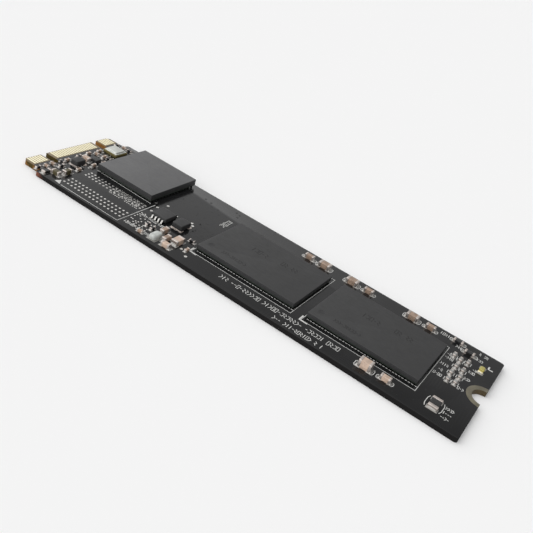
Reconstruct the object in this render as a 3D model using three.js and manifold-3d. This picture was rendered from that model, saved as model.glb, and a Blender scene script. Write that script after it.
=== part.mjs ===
// Solid state drive: a bare circuit board in the 22 x 80 mm plug-in card size, built as a bench assembly.
// Millimetres, +Z up. The card edge that plugs in is at -X, the screw end at +X, and the chips face up.
// The origin is at the middle of the card's footprint, on the plane of its lowest contacts.
import * as THREE from "three";
import { mergeVertices } from "three/addons/utils/BufferGeometryUtils.js";
import Module from "manifold-3d";

const wasm = await Module();
wasm.setup();

// ---------- driving dimensions ----------
// Circuit board
const BOARD_LENGTH = 80;
const BOARD_WIDTH = 22;
const BOARD_THICKNESS = 0.8;
const BOARD_CORNER_RADIUS = 0.4;
const FOIL_THICKNESS = 0.04; // plated copper that stands on the board

// Plug-in tongue: its width follows from the contact rows and a margin on each side of them
const TONGUE_MARGIN = 0.5;
const TONGUE_LENGTH = 4;
const TONGUE_CHAMFER = 0.5;
const PIN_PITCH = 0.25; // from a pin on one face to the next pin on the other face
const CENTRE_PIN = 38;
const LAST_PIN = 75;
const FINGER_WIDTH = 0.35;
const TOP_FINGER_LENGTH = 2.0;
const BOTTOM_FINGER_LENGTH = 2.5;
const FINGER_SETBACK = 0.15; // bare board between the leading edge and the fingers
const FINGER_TIE_WIDTH = 0.2; // strip of foil that ties a bank's fingers at their inner ends
const KEY_WIDTH = 1.2;
const KEY_DEPTH = 3.5;
const KEY_PINS = [15.5, 62.5]; // pin positions at the middle of the two key slots
const TOP_BANKS = { b: [1, 11], middle: [21, 57], m: [67, LAST_PIN] };
const BOTTOM_BANKS = { b: [2, 10], middle: [20, 58], m: [68, 74] };

// Screw end
const SCREW_HOLE_RADIUS = 1.75;
const SCREW_LAND_RADIUS = 2.6;
const FOIL_GAP = 0.01; // between the plated barrel and the board around it

// Ball-grid packages: plan size, then heights from the board up
const SOLDER_BALL_WIDTH = 0.4;
const DIE_CLEARANCE = 0.1; // between a silicon die and the moulding round it
const CONTROLLER = {
  sizeX: 12,
  sizeY: 12,
  ballHeight: 0.25,
  substrate: 0.25,
  mould: 0.85,
  ballPitch: 0.8,
  rings: 2,
  core: 4,
  dieX: 6.5,
  dieY: 6,
  dieHeight: 0.35,
};
const MEMORY = {
  sizeX: 18,
  sizeY: 12,
  ballHeight: 0.2,
  substrate: 0.2,
  mould: 0.58,
  ballPitch: 1,
  rings: 2,
  core: 4,
  dieX: 13,
  dieY: 9,
  dieHeight: 0.4,
};
const CONTROLLER_SETBACK = 8.4; // from the plug-in edge
const CONTROLLER_EDGE_GAP = 0.5; // from the board's far long edge
const MEMORY_SETBACK = 8.15; // from the screw end to the nearest memory chip
const MEMORY_GAP = 2.3; // between the two memory chips
const MEMORY_COUNT = 2;

// Chip parts: length between terminals, width, height
const CHIP_TERMINAL_PROUD = 0.03;
const CHIP_0805 = { length: 2.0, width: 1.25, height: 0.85, terminal: 0.4 };
const CHIP_0805_TALL = { length: 2.0, width: 1.25, height: 1.25, terminal: 0.4 };
const CHIP_0603 = { length: 1.6, width: 0.8, height: 0.75, terminal: 0.32 };
const CHIP_0402 = { length: 1.0, width: 0.5, height: 0.5, terminal: 0.22 };
const RESISTOR_0603 = { length: 1.6, width: 0.8, height: 0.45, terminal: 0.3 };
const RESISTOR_ARRAY = { length: 1.5, width: 2.4, height: 0.5, terminal: 0.28 };
const FILTER_BEAD = { length: 2.0, width: 1.25, height: 0.8, terminal: 0.3 };

// All x places below are distances from the plug-in edge unless they say otherwise.

// Power inductors: width runs along the card, length across it
const INDUCTOR_TERMINAL_THICKNESS = 0.1;
const LARGE_INDUCTOR = { length: 2.5, width: 2.0, height: 1.0, corner: 0.3, terminal: 0.7 };
const SMALL_INDUCTOR = { length: 2.0, width: 1.6, height: 1.0, corner: 0.25, terminal: 0.55 };
const INDUCTORS = [
  [28.1, -2.95, LARGE_INDUCTOR],
  [5.3, -2.95, SMALL_INDUCTOR],
];

// Clock oscillator
const OSCILLATOR = { x: 5.05, y: 6.45, sizeX: 3.2, sizeY: 3.0, base: 0.45, lid: 0.35, corner: 0.25 };
const OSCILLATOR_RIM = 0.15; // ceramic rim that shows round the lid

// Regulator with leads on its two long sides
const REGULATOR = { x: 24.7, y: -3.15, size: 3.0, height: 0.75, corner: 0.12 };
const LEADS_PER_SIDE = 4;
const LEAD_PITCH = 0.65;
const LEAD_WIDTH = 0.3;
const LEAD_THICKNESS = 0.1;
const LEAD_REACH = 0.8; // how far the lead's foot stands out from the body
const LEAD_RISE = 0.45; // how high the lead climbs beside the body
const LEAD_SIDE_GAP = 0.05; // between that climb and the body's side
const DIE_PAD_SIZE = [2.2, 1.9];

// Supervisor chip, a small leadless package
const SUPERVISOR = { x: 5.8, y: 0.7, sizeX: 1.5, sizeY: 1.2, height: 0.55, corner: 0.08 };

// Status lamp, its x from the screw end
const LAMP = { fromBack: 2.3, y: 6.05, sizeX: 0.8, sizeY: 1.6, base: 0.25, lens: 0.3, lensLength: 1.0 };
const LENS_CORNER = 0.2;

// Capacitors along the long edges: memory chip, x from its middle, kind
const FAR_ROW_SETBACK = 2.05; // from the long edge to the middle of the row
const FAR_ROW_CAPACITORS = [
  [1, 3.3, CHIP_0603],
  [1, 6.25, CHIP_0805],
  [2, -8.8, CHIP_0805],
  [2, -5.75, CHIP_0603],
  [2, 2.15, CHIP_0805],
  [2, 5.3, CHIP_0603],
];
const NEAR_ROW_SETBACK = 2.25;
const NEAR_ROW_CAPACITORS = [
  [2, 2.2, CHIP_0805_TALL],
  [2, 5.4, CHIP_0603],
];

// Places of the other chip parts: x, y, kind, axis between the two terminals
const POWER_CAPACITORS = [
  [27.7, -6.6, CHIP_0603, "y"],
  [30.85, -7.2, CHIP_0805, "y"],
  [29.35, -8.1, CHIP_0603, "y"],
  [30.45, -9.6, CHIP_0603, "x"],
];
const CONNECTOR_CAPACITORS = [
  [4.9, -0.6, CHIP_0603, "x"],
  [7.1, -1.05, CHIP_0402, "y"],
  [7.0, -7.0, CHIP_0603, "y"],
  [6.4, -8.8, CHIP_0603, "x"],
];
const CONNECTOR_RESISTORS = [[5.1, -9.7, RESISTOR_0603, "y"]];
const FILTER_BEADS = [[27.9, -9.0, FILTER_BEAD, "y"]];

// Parts beside the screw land: x from the screw end, y, kind, axis between the two terminals
const END_RESISTORS = [
  [7.35, 9.75, RESISTOR_0603, "x"],
  [5.05, 8.4, RESISTOR_0603, "x"],
  [4.8, -7.4, RESISTOR_ARRAY, "x"],
];
const END_CAPACITORS = [
  [6.6, 5.8, CHIP_0402, "y"],
  [5.5, 5.4, CHIP_0402, "y"],
  [4.4, 5.8, CHIP_0402, "y"],
  [5.5, 3.4, CHIP_0402, "y"],
  [4.35, 3.2, CHIP_0402, "y"],
  [5.55, 1.3, CHIP_0402, "y"],
  [4.2, 1.4, CHIP_0402, "y"],
  [5.4, -0.6, CHIP_0402, "y"],
  [4.3, -0.4, CHIP_0402, "y"],
];

// ---------- derived places ----------
const FRONT_X = -BOARD_LENGTH / 2;
const BACK_X = BOARD_LENGTH / 2;
const SHOULDER_X = FRONT_X + TONGUE_LENGTH;
const HALF_WIDTH = BOARD_WIDTH / 2;
const BOARD_BOTTOM = FOIL_THICKNESS;
const BOARD_TOP = BOARD_BOTTOM + BOARD_THICKNESS;
const ARC_STEPS = 8; // straight steps along each arc
const MERGE_DISTANCE = 1e-5; // vertices closer than this are one
const pinY = (pin) => (pin - CENTRE_PIN) * PIN_PITCH;
const HALF_TONGUE = pinY(LAST_PIN) + FINGER_WIDTH / 2 + TONGUE_MARGIN;
const memoryX = (number) =>
  BACK_X - MEMORY_SETBACK - MEMORY.sizeX / 2 - (MEMORY_COUNT - number) * (MEMORY.sizeX + MEMORY_GAP);

// ---------- materials ----------
const finish = (color, roughness, metalness = 0) =>
  new THREE.MeshStandardMaterial({ color, roughness, metalness });
const BOARD = () => finish(0x26262a, 0.3);
const GOLD = () => finish(0xd8c27a, 0.3, 1);
const TINNED = () => finish(0xb9b6ac, 0.35, 1);
const MOULDING = () => finish(0x3b3b3d, 0.55);
const LAMINATE = () => finish(0x1b1d1c, 0.5);
const SILICON = () => finish(0x565a66, 0.2, 0.4);
const CERAMIC = () => finish(0xa17c62, 0.5);
const PALE_CERAMIC = () => finish(0xaab0ac, 0.5);
const FERRITE = () => finish(0x2c2c2e, 0.6);
const CLEAR_RESIN = () => finish(0xb9a94a, 0.25);

// ---------- geometry helpers ----------
const model = new THREE.Group();

// Adds one sub-part: its geometry, its finish and where it stands.
function addPart(name, geometry, material, x = 0, y = 0, z = 0, turn = 0) {
  const mesh = new THREE.Mesh(geometry, material);
  mesh.name = name;
  mesh.position.set(x, y, z);
  mesh.rotation.z = turn;
  model.add(mesh);
}

// A block on its base, centred on x and y.
function block(sizeX, sizeY, height, x = 0, y = 0, z = 0) {
  return new THREE.BoxGeometry(sizeX, sizeY, height).translate(x, y, z + height / 2);
}

// A plate of any outline, on its base.
function plate(shape, height, z = 0) {
  const settings = { depth: height, bevelEnabled: false, curveSegments: ARC_STEPS };
  return new THREE.ExtrudeGeometry(shape, settings).translate(0, 0, z);
}

// A plate with four rounded corners.
function roundedBlock(sizeX, sizeY, height, radius) {
  const halfX = sizeX / 2;
  const halfY = sizeY / 2;
  const shape = new THREE.Shape();
  shape.moveTo(-halfX + radius, -halfY);
  shape.lineTo(halfX - radius, -halfY);
  shape.absarc(halfX - radius, -halfY + radius, radius, -Math.PI / 2, 0);
  shape.lineTo(halfX, halfY - radius);
  shape.absarc(halfX - radius, halfY - radius, radius, 0, Math.PI / 2);
  shape.lineTo(-halfX + radius, halfY);
  shape.absarc(-halfX + radius, halfY - radius, radius, Math.PI / 2, Math.PI);
  shape.lineTo(-halfX, -halfY + radius);
  shape.absarc(-halfX + radius, -halfY + radius, radius, Math.PI, 1.5 * Math.PI);
  return plate(shape, height);
}

function toSolid(geometry) {
  const bare = geometry.index ? geometry.toNonIndexed() : geometry.clone();
  bare.deleteAttribute("normal");
  bare.deleteAttribute("uv");
  const merged = mergeVertices(bare, MERGE_DISTANCE);
  return new wasm.Manifold(
    new wasm.Mesh({
      numProp: 3,
      vertProperties: new Float32Array(merged.attributes.position.array),
      triVerts: new Uint32Array(merged.index.array),
    }),
  );
}

function toGeometry(solid) {
  const mesh = solid.getMesh();
  const geometry = new THREE.BufferGeometry();
  geometry.setAttribute("position", new THREE.BufferAttribute(mesh.vertProperties, 3));
  geometry.setIndex(new THREE.BufferAttribute(mesh.triVerts, 1));
  geometry.computeVertexNormals();
  return geometry;
}

const join = (geometries) => toGeometry(geometries.map(toSolid).reduce((a, b) => a.add(b)));
const cut = (body, tool) => toGeometry(toSolid(body).subtract(toSolid(tool)));

// ---------- circuit board ----------
function addBoard() {
  const keyRadius = KEY_WIDTH / 2;
  const keyEndX = FRONT_X + KEY_DEPTH - keyRadius;
  const barrelRadius = SCREW_HOLE_RADIUS + FOIL_THICKNESS + FOIL_GAP;
  const corner = BOARD_CORNER_RADIUS;
  const outline = new THREE.Shape();
  outline.moveTo(FRONT_X, -HALF_TONGUE + TONGUE_CHAMFER);
  outline.lineTo(FRONT_X + TONGUE_CHAMFER, -HALF_TONGUE);
  outline.lineTo(SHOULDER_X, -HALF_TONGUE);
  outline.lineTo(SHOULDER_X, -HALF_WIDTH + corner);
  outline.absarc(SHOULDER_X + corner, -HALF_WIDTH + corner, corner, Math.PI, 1.5 * Math.PI);
  outline.lineTo(BACK_X - corner, -HALF_WIDTH);
  outline.absarc(BACK_X - corner, -HALF_WIDTH + corner, corner, -Math.PI / 2, 0);
  outline.lineTo(BACK_X, -barrelRadius);
  outline.absarc(BACK_X, 0, barrelRadius, -Math.PI / 2, -1.5 * Math.PI, true);
  outline.lineTo(BACK_X, HALF_WIDTH - corner);
  outline.absarc(BACK_X - corner, HALF_WIDTH - corner, corner, 0, Math.PI / 2);
  outline.lineTo(SHOULDER_X + corner, HALF_WIDTH);
  outline.absarc(SHOULDER_X + corner, HALF_WIDTH - corner, corner, Math.PI / 2, Math.PI);
  outline.lineTo(SHOULDER_X, HALF_TONGUE);
  outline.lineTo(FRONT_X + TONGUE_CHAMFER, HALF_TONGUE);
  outline.lineTo(FRONT_X, HALF_TONGUE - TONGUE_CHAMFER);
  for (const pin of [...KEY_PINS].reverse()) {
    outline.lineTo(FRONT_X, pinY(pin) + keyRadius);
    outline.absarc(keyEndX, pinY(pin), keyRadius, Math.PI / 2, -Math.PI / 2, true);
    outline.lineTo(FRONT_X, pinY(pin) - keyRadius);
  }
  outline.closePath();
  addPart("circuit_board", plate(outline, BOARD_THICKNESS), BOARD(), 0, 0, BOARD_BOTTOM);
}

// Half-round plated land: a ring on each face and the barrel that joins them through the board.
function addScrewLand() {
  const halfRing = (outer) => {
    const shape = new THREE.Shape();
    shape.moveTo(0, -SCREW_HOLE_RADIUS);
    shape.absarc(0, 0, SCREW_HOLE_RADIUS, -Math.PI / 2, -1.5 * Math.PI, true);
    shape.lineTo(0, outer);
    shape.absarc(0, 0, outer, Math.PI / 2, 1.5 * Math.PI, false);
    shape.closePath();
    return shape;
  };
  const land = halfRing(SCREW_LAND_RADIUS);
  const barrel = halfRing(SCREW_HOLE_RADIUS + FOIL_THICKNESS);
  const parts = [
    plate(land, FOIL_THICKNESS),
    plate(land, FOIL_THICKNESS, BOARD_TOP),
    plate(barrel, BOARD_TOP + FOIL_THICKNESS),
  ];
  addPart("screw_land", join(parts), TINNED(), BACK_X);
}

// One bank of edge contacts: every second pin, tied together at the inner ends.
function addContactBank(name, [firstPin, lastPin], length, z) {
  const middleX = FRONT_X + FINGER_SETBACK + length / 2;
  const fingers = [];
  for (let pin = firstPin; pin <= lastPin; pin += 2) {
    fingers.push(block(length, FINGER_WIDTH, FOIL_THICKNESS, middleX, pinY(pin), z));
  }
  const tieX = middleX + length / 2 - FINGER_TIE_WIDTH / 2;
  const tieY = (pinY(firstPin) + pinY(lastPin)) / 2;
  fingers.push(block(FINGER_TIE_WIDTH, pinY(lastPin) - pinY(firstPin), FOIL_THICKNESS, tieX, tieY, z));
  addPart(name, join(fingers), GOLD());
}

function addContacts() {
  for (const [bank, pins] of Object.entries(TOP_BANKS)) {
    addContactBank(`top_contacts_${bank}`, pins, TOP_FINGER_LENGTH, BOARD_TOP);
  }
  for (const [bank, pins] of Object.entries(BOTTOM_BANKS)) {
    addContactBank(`bottom_contacts_${bank}`, pins, BOTTOM_FINGER_LENGTH, 0);
  }
}

// ---------- ball-grid packages ----------
// Places of the solder balls: rings along the package's edge and a square block in the middle.
function ballPlaces(chip) {
  const countX = Math.floor((chip.sizeX - chip.ballPitch) / chip.ballPitch);
  const countY = Math.floor((chip.sizeY - chip.ballPitch) / chip.ballPitch);
  const places = [];
  for (let i = 0; i < countX; i += 1) {
    for (let j = 0; j < countY; j += 1) {
      const fromEdge = Math.min(i, j, countX - 1 - i, countY - 1 - j);
      const x = (i - (countX - 1) / 2) * chip.ballPitch;
      const y = (j - (countY - 1) / 2) * chip.ballPitch;
      const inCore = Math.max(Math.abs(x), Math.abs(y)) < (chip.core * chip.ballPitch) / 2;
      if (fromEdge < chip.rings || inCore) places.push([x, y]);
    }
  }
  return places;
}

function addPackage(name, chip, x, y) {
  const top = chip.ballHeight + chip.substrate;
  const balls = ballPlaces(chip).map(([ballX, ballY]) =>
    block(SOLDER_BALL_WIDTH, SOLDER_BALL_WIDTH, top - chip.substrate / 2, ballX, ballY),
  );
  const laminate = block(chip.sizeX, chip.sizeY, chip.substrate, 0, 0, chip.ballHeight);
  const pocketX = chip.dieX + 2 * DIE_CLEARANCE;
  const pocketY = chip.dieY + 2 * DIE_CLEARANCE;
  const pocket = block(pocketX, pocketY, chip.dieHeight + 2 * DIE_CLEARANCE, 0, 0, -DIE_CLEARANCE);
  const cap = cut(block(chip.sizeX, chip.sizeY, chip.mould), pocket);
  const die = block(chip.dieX, chip.dieY, chip.dieHeight);
  addPart(`${name}_substrate`, join([laminate, ...balls]), LAMINATE(), x, y, BOARD_TOP);
  addPart(`${name}_die`, die, SILICON(), x, y, BOARD_TOP + top);
  addPart(`${name}_mould_cap`, cap, MOULDING(), x, y, BOARD_TOP + top);
}

function addPackages() {
  const controllerX = FRONT_X + CONTROLLER_SETBACK + CONTROLLER.sizeX / 2;
  const controllerY = HALF_WIDTH - CONTROLLER_EDGE_GAP - CONTROLLER.sizeY / 2;
  addPackage("controller", CONTROLLER, controllerX, controllerY);
  for (let number = 1; number <= MEMORY_COUNT; number += 1) {
    addPackage(`memory_${number}`, MEMORY, memoryX(number), 0);
  }
}

// ---------- chip parts ----------
// A ceramic block whose two metal ends stand slightly proud of it.
function chipPart({ length, width, height, terminal }) {
  const proud = CHIP_TERMINAL_PROUD;
  const endX = (length - terminal) / 2;
  return join([
    block(length - terminal, width - 2 * proud, height - 2 * proud, 0, 0, proud),
    block(terminal, width, height, -endX),
    block(terminal, width, height, endX),
  ]);
}

function addChipParts(prefix, places, material) {
  places.forEach(([x, y, kind, axis], i) => {
    const turn = axis === "y" ? Math.PI / 2 : 0;
    addPart(`${prefix}_${i + 1}`, chipPart(kind), material(), FRONT_X + x, y, BOARD_TOP, turn);
  });
}

function addEdgeCapacitors() {
  const place = (y) => ([memory, offset, kind]) => [memoryX(memory) + offset - FRONT_X, y, kind, "x"];
  const places = [
    ...FAR_ROW_CAPACITORS.map(place(HALF_WIDTH - FAR_ROW_SETBACK)),
    ...NEAR_ROW_CAPACITORS.map(place(NEAR_ROW_SETBACK - HALF_WIDTH)),
  ];
  addChipParts("edge_capacitor", places, CERAMIC);
}

function addEndParts() {
  const fromFront = ([fromBack, ...rest]) => [BOARD_LENGTH - fromBack, ...rest];
  addChipParts("end_resistor", END_RESISTORS.map(fromFront), FERRITE);
  addChipParts("end_capacitor", END_CAPACITORS.map(fromFront), PALE_CERAMIC);
}

// ---------- power parts ----------
function addInductors() {
  INDUCTORS.forEach(([fromFront, y, { length, width, height, corner, terminal }], i) => {
    const x = FRONT_X + fromFront;
    const name = `inductor_${i + 1}`;
    const inset = (length - terminal) / 2;
    const core = roundedBlock(width, length, height - INDUCTOR_TERMINAL_THICKNESS, corner);
    addPart(`${name}_core`, core, FERRITE(), x, y, BOARD_TOP + INDUCTOR_TERMINAL_THICKNESS);
    for (const [side, sign] of [["near", -1], ["far", 1]]) {
      const foot = block(width, terminal, INDUCTOR_TERMINAL_THICKNESS);
      addPart(`${name}_terminal_${side}`, foot, TINNED(), x, y + sign * inset, BOARD_TOP);
    }
  });
}

// The stamped frame: a pad under the body and the leads that run out from it and climb its sides.
function addRegulator() {
  const half = REGULATOR.size / 2;
  const x = FRONT_X + REGULATOR.x;
  const frame = [block(DIE_PAD_SIZE[0], DIE_PAD_SIZE[1], LEAD_THICKNESS)];
  const span = 2 * (half + LEAD_REACH);
  const riseY = half + LEAD_SIDE_GAP + LEAD_THICKNESS / 2;
  for (let i = 0; i < LEADS_PER_SIDE; i += 1) {
    const leadX = (i - (LEADS_PER_SIDE - 1) / 2) * LEAD_PITCH;
    frame.push(block(LEAD_WIDTH, span, LEAD_THICKNESS, leadX));
    frame.push(block(LEAD_WIDTH, LEAD_THICKNESS, LEAD_RISE, leadX, -riseY));
    frame.push(block(LEAD_WIDTH, LEAD_THICKNESS, LEAD_RISE, leadX, riseY));
  }
  const body = roundedBlock(REGULATOR.size, REGULATOR.size, REGULATOR.height, REGULATOR.corner);
  addPart("regulator_lead_frame", join(frame), TINNED(), x, REGULATOR.y, BOARD_TOP);
  addPart("regulator_body", body, MOULDING(), x, REGULATOR.y, BOARD_TOP + LEAD_THICKNESS);
}

function addSupervisor() {
  const { x, y, sizeX, sizeY, height, corner } = SUPERVISOR;
  const body = roundedBlock(sizeX, sizeY, height, corner);
  addPart("supervisor_chip", body, MOULDING(), FRONT_X + x, y, BOARD_TOP);
}

// ---------- oscillator and lamp ----------
function addOscillator() {
  const { x, y, sizeX, sizeY, base, lid, corner } = OSCILLATOR;
  const lidX = sizeX - 2 * OSCILLATOR_RIM;
  const lidY = sizeY - 2 * OSCILLATOR_RIM;
  const ceramic = roundedBlock(sizeX, sizeY, base, corner);
  const metal = roundedBlock(lidX, lidY, lid, corner);
  addPart("oscillator_base", ceramic, PALE_CERAMIC(), FRONT_X + x, y, BOARD_TOP);
  addPart("oscillator_lid", metal, TINNED(), FRONT_X + x, y, BOARD_TOP + base);
}

function addLamp() {
  const { fromBack, y, sizeX, sizeY, base, lens, lensLength } = LAMP;
  const x = BACK_X - fromBack;
  addPart("lamp_base", block(sizeX, sizeY, base), CERAMIC(), x, y, BOARD_TOP);
  const dome = roundedBlock(sizeX, lensLength, lens, LENS_CORNER);
  addPart("lamp_lens", dome, CLEAR_RESIN(), x, y, BOARD_TOP + base);
}

addBoard();
addScrewLand();
addContacts();
addPackages();
addEdgeCapacitors();
addChipParts("power_capacitor", POWER_CAPACITORS, CERAMIC);
addChipParts("connector_capacitor", CONNECTOR_CAPACITORS, CERAMIC);
addChipParts("connector_resistor", CONNECTOR_RESISTORS, FERRITE);
addChipParts("filter_bead", FILTER_BEADS, PALE_CERAMIC);
addEndParts();
addInductors();
addRegulator();
addSupervisor();
addOscillator();
addLamp();

export default model;
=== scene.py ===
"""Solid state drive in the 22 x 80 mm plug-in card size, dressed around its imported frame.

Lengths in this file are millimetres, until a mesh is made, which is in metres.
The card lies flat: contacts at -X, screw end at +X, parts facing up.
"""
import math
import random

import bmesh
import bpy
from mathutils import Matrix, Vector


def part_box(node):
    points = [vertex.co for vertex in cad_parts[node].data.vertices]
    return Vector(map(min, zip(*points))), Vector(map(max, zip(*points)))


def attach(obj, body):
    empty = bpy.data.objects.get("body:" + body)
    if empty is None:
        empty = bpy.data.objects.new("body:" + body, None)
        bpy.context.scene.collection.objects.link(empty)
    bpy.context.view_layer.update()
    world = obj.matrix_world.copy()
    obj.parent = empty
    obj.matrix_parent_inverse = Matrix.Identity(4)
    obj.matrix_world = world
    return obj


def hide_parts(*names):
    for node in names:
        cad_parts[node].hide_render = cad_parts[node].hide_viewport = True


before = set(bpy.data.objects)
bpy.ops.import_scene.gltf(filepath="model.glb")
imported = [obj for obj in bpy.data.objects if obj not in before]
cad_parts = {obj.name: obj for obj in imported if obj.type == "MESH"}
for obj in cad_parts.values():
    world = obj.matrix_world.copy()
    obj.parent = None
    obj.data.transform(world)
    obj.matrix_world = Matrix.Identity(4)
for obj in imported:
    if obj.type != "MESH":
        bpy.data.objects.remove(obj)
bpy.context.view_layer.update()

bl_info = {
    "name": "Plug-in storage card",
    "version": (1, 0, 0),
    "blender": (4, 5, 0),
    "location": "View3D > Sidebar > Storage Card",
    "description": "Builds the detail, finishes and stage of a 22 x 80 mm solid state drive",
    "category": "Object",
}

MM = 0.001


def node_box(name):
    """Lowest and highest corner of a frame node, in millimetres."""
    low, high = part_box(name)
    return low / MM, high / MM


BOARD_LOW, BOARD_HIGH = node_box("circuit_board")
FACE = BOARD_HIGH.z  # the board's upper face
UNDERSIDE = BOARD_LOW.z
LAND_LOW, LAND_HIGH = node_box("screw_land")
BANKS = ("b", "middle", "m")
MEMORIES = ("memory_1", "memory_2")
PACKAGES = ("controller",) + MEMORIES
MASK_START = 2.3  # bare tongue behind the plug-in edge
TONGUE_LENGTH = 4.0
TONGUE_CHAMFER = 0.5
TONGUE_MARGIN = 0.5  # from the last contact to the tongue's side
KEY_WIDTH = 1.2
KEY_DEPTH = 3.5
CORNER = 0.4
LAND_RING = 0.8  # from the plated ring's outer edge in to the hole in the laminate


# ---------- sizes and colours a user would change ----------
def length(name, description, default):
    return bpy.props.FloatProperty(name=name, description=description, default=default * MM,
                                   min=0.0, subtype="DISTANCE", unit="LENGTH", precision=5)


def colour(name, description, default):
    return bpy.props.FloatVectorProperty(name=name, description=description, default=default,
                                         size=3, min=0.0, max=1.0, subtype="COLOR")


def amount(name, description, default, top=1.0):
    return bpy.props.FloatProperty(name=name, description=description, default=default,
                                   min=0.0, max=top)


class BoardSettings(bpy.types.PropertyGroup):
    mask: colour("Solder mask", "Black lacquer over the board", (0.0085, 0.0085, 0.009))
    copper_under_mask: colour("Mask over copper", "Lacquer where copper lies under it",
                              (0.014, 0.014, 0.0145))
    bare_laminate: colour("Bare laminate", "Uncoated glass laminate on the tongue",
                          (0.16, 0.105, 0.035))
    cut_edge: colour("Cut edge", "Routed edge of the laminate", (0.0055, 0.0052, 0.0052))
    scorched: colour("Scorched edge", "Orange-brown of the tongue's cut edge", (0.30, 0.135, 0.035))
    # Dark olive: the edge inside one key slot, and patches along the tongue's edge.
    olive_edge: colour("Olive edge", "Dark olive, inside the key slot and in patches", (0.045, 0.036, 0.008))
    red_edge: colour("Red edge", "Red-brown laminate at the shoulders", (0.22, 0.075, 0.05))
    gold: colour("Contact gold", "Hard gold on the edge contacts", (0.95, 0.88, 0.64))
    tin: colour("Tin", "Tinned pads and feet", (0.70, 0.69, 0.66))
    solder: colour("Solder", "Dull solder round the parts' ends", (0.42, 0.41, 0.39))
    land: colour("Screw land", "Dull tin round the screw hole", (0.24, 0.22, 0.165))
    barrel: colour("Screw barrel", "Tarnished plating inside the screw hole", (0.11, 0.085, 0.05))
    # This ink also paints glints: the dashes and the line at the packages' bases stand for light through
    # the gap under them.
    legend: colour("Legend ink and painted glints", "White printed marks, and painted glints at the packages' bases", (0.62, 0.62, 0.60))
    mask_gloss: amount("Mask roughness", "Roughness of the lacquer", 0.11)
    edge_break: length("Edge break", "Rounding of the routed edge", 0.03)
    pad_height: length("Pad height", "How far a bare pad stands off the board", 0.012)
    legend_height: length("Legend height", "Thickness of the printed ink", 0.012)
    legend_line: length("Legend line", "Width of a printed line", 0.11)


class PackageSettings(bpy.types.PropertyGroup):
    memory_top: colour("Memory moulding", "Black epoxy of the memory chips", (0.030, 0.030, 0.0305))
    # The controller's top is painted lighter than its sides, which take the darker side colour: painted
    # light falling on the top.
    controller_lit_top: colour("Controller moulding, painted top light", "Controller top, painted lighter than its sides", (0.094, 0.094, 0.096))
    moulding_side: colour("Moulding side", "Sawn sides of the packages", (0.030, 0.030, 0.031))
    substrate: colour("Substrate", "Laminate under the moulding", (0.012, 0.018, 0.013))
    silicon: colour("Silicon", "The die inside a package", (0.12, 0.13, 0.17))
    laser_mark: colour("Laser mark", "Burnt marks on a memory chip", (0.012, 0.012, 0.012))
    edge_break: length("Edge break", "Rounding of a package's top edge", 0.05)
    ball_width: length("Ball width", "Solder ball across", 0.42)
    dimple_width: length("Dimple width", "Pin-one dimple across", 1.1)
    dimple_depth: length("Dimple depth", "Pin-one dimple's depth", 0.05)


class PartSettings(bpy.types.PropertyGroup):
    ceramic: colour("Capacitor ceramic", "Fired brown ceramic", (0.33, 0.235, 0.175))
    ceramic_pale: colour("Pale capacitor ceramic", "Lighter fired ceramic", (0.56, 0.42, 0.33))
    ceramic_grey: colour("Grey capacitor ceramic", "Grey fired ceramic", (0.30, 0.30, 0.29))
    ceramic_olive: colour("Olive capacitor ceramic", "Green-brown fired ceramic", (0.085, 0.07, 0.03))
    alumina: colour("Alumina", "Pale ceramic of the filter bead", (0.50, 0.52, 0.50))
    glaze: colour("Resistor glaze", "Black glaze on a resistor", (0.012, 0.012, 0.013))
    ferrite: colour("Ferrite", "Pressed powder core", (0.022, 0.022, 0.023))
    lid: colour("Oscillator lid", "Plated lid", (0.62, 0.63, 0.60))
    lid_base: colour("Oscillator base", "Gilt-edged ceramic base", (0.16, 0.13, 0.045))
    lens: colour("Lamp lens", "Clear yellow resin", (0.42, 0.36, 0.07))
    lamp_base: colour("Lamp base", "Brown lamp substrate", (0.12, 0.06, 0.02))
    terminal: colour("Terminal", "Matt tin over fired silver, on a chip's ends", (0.62, 0.56, 0.52))
    terminal_share: amount("Terminal share", "Length of a metal end as a share of the part", 0.22, 0.4)
    lead_width: length("Lead width", "Width of a regulator lead", 0.26)
    lead_thickness: length("Lead thickness", "Thickness of a regulator lead", 0.1)


class StageSettings(bpy.types.PropertyGroup):
    floor: colour("Floor", "Plain pale floor", (0.915, 0.915, 0.915))
    floor_size: bpy.props.FloatProperty(name="Floor size", description="Side of the square floor",
                                        default=12.0, min=1.0, subtype="DISTANCE", unit="LENGTH")
    sky: amount("Sky", "Brightness of the soft studio light overhead", 0.92, 4.0)
    sky_slope: amount("Sky slope", "How much the light falls off from near left to far right", 0.75)
    key_strength: amount("Key light", "Strength of the soft key light", 0.35, 50.0)
    lens: bpy.props.FloatProperty(name="Lens", description="Focal length in millimetres", default=48.48)
    target: bpy.props.FloatVectorProperty(name="Target", description="Point the camera looks at",
                                          default=(2.889 * MM, 0.203 * MM, 0.84 * MM), size=3,
                                          subtype="TRANSLATION", unit="LENGTH", precision=5)
    distance: length("Distance", "Camera to target", 111.08)
    azimuth: bpy.props.FloatProperty(name="Azimuth", description="Turn of the camera about Z",
                                     default=math.radians(23.23), subtype="ANGLE", unit="ROTATION")
    elevation: bpy.props.FloatProperty(name="Elevation", description="Height angle of the camera",
                                       default=math.radians(30.47), subtype="ANGLE", unit="ROTATION")
    roll: bpy.props.FloatProperty(name="Roll", description="Roll of the camera about its own axis",
                                  default=math.radians(18.87), subtype="ANGLE", unit="ROTATION")


SETTINGS = {"card_board": BoardSettings, "card_packages": PackageSettings,
            "card_parts": PartSettings, "card_stage": StageSettings}


# ---------- node building ----------
COAT_ROUGHNESS = 0.1
HANDLING = 0.12  # how far handling marks change a finish's roughness


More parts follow.
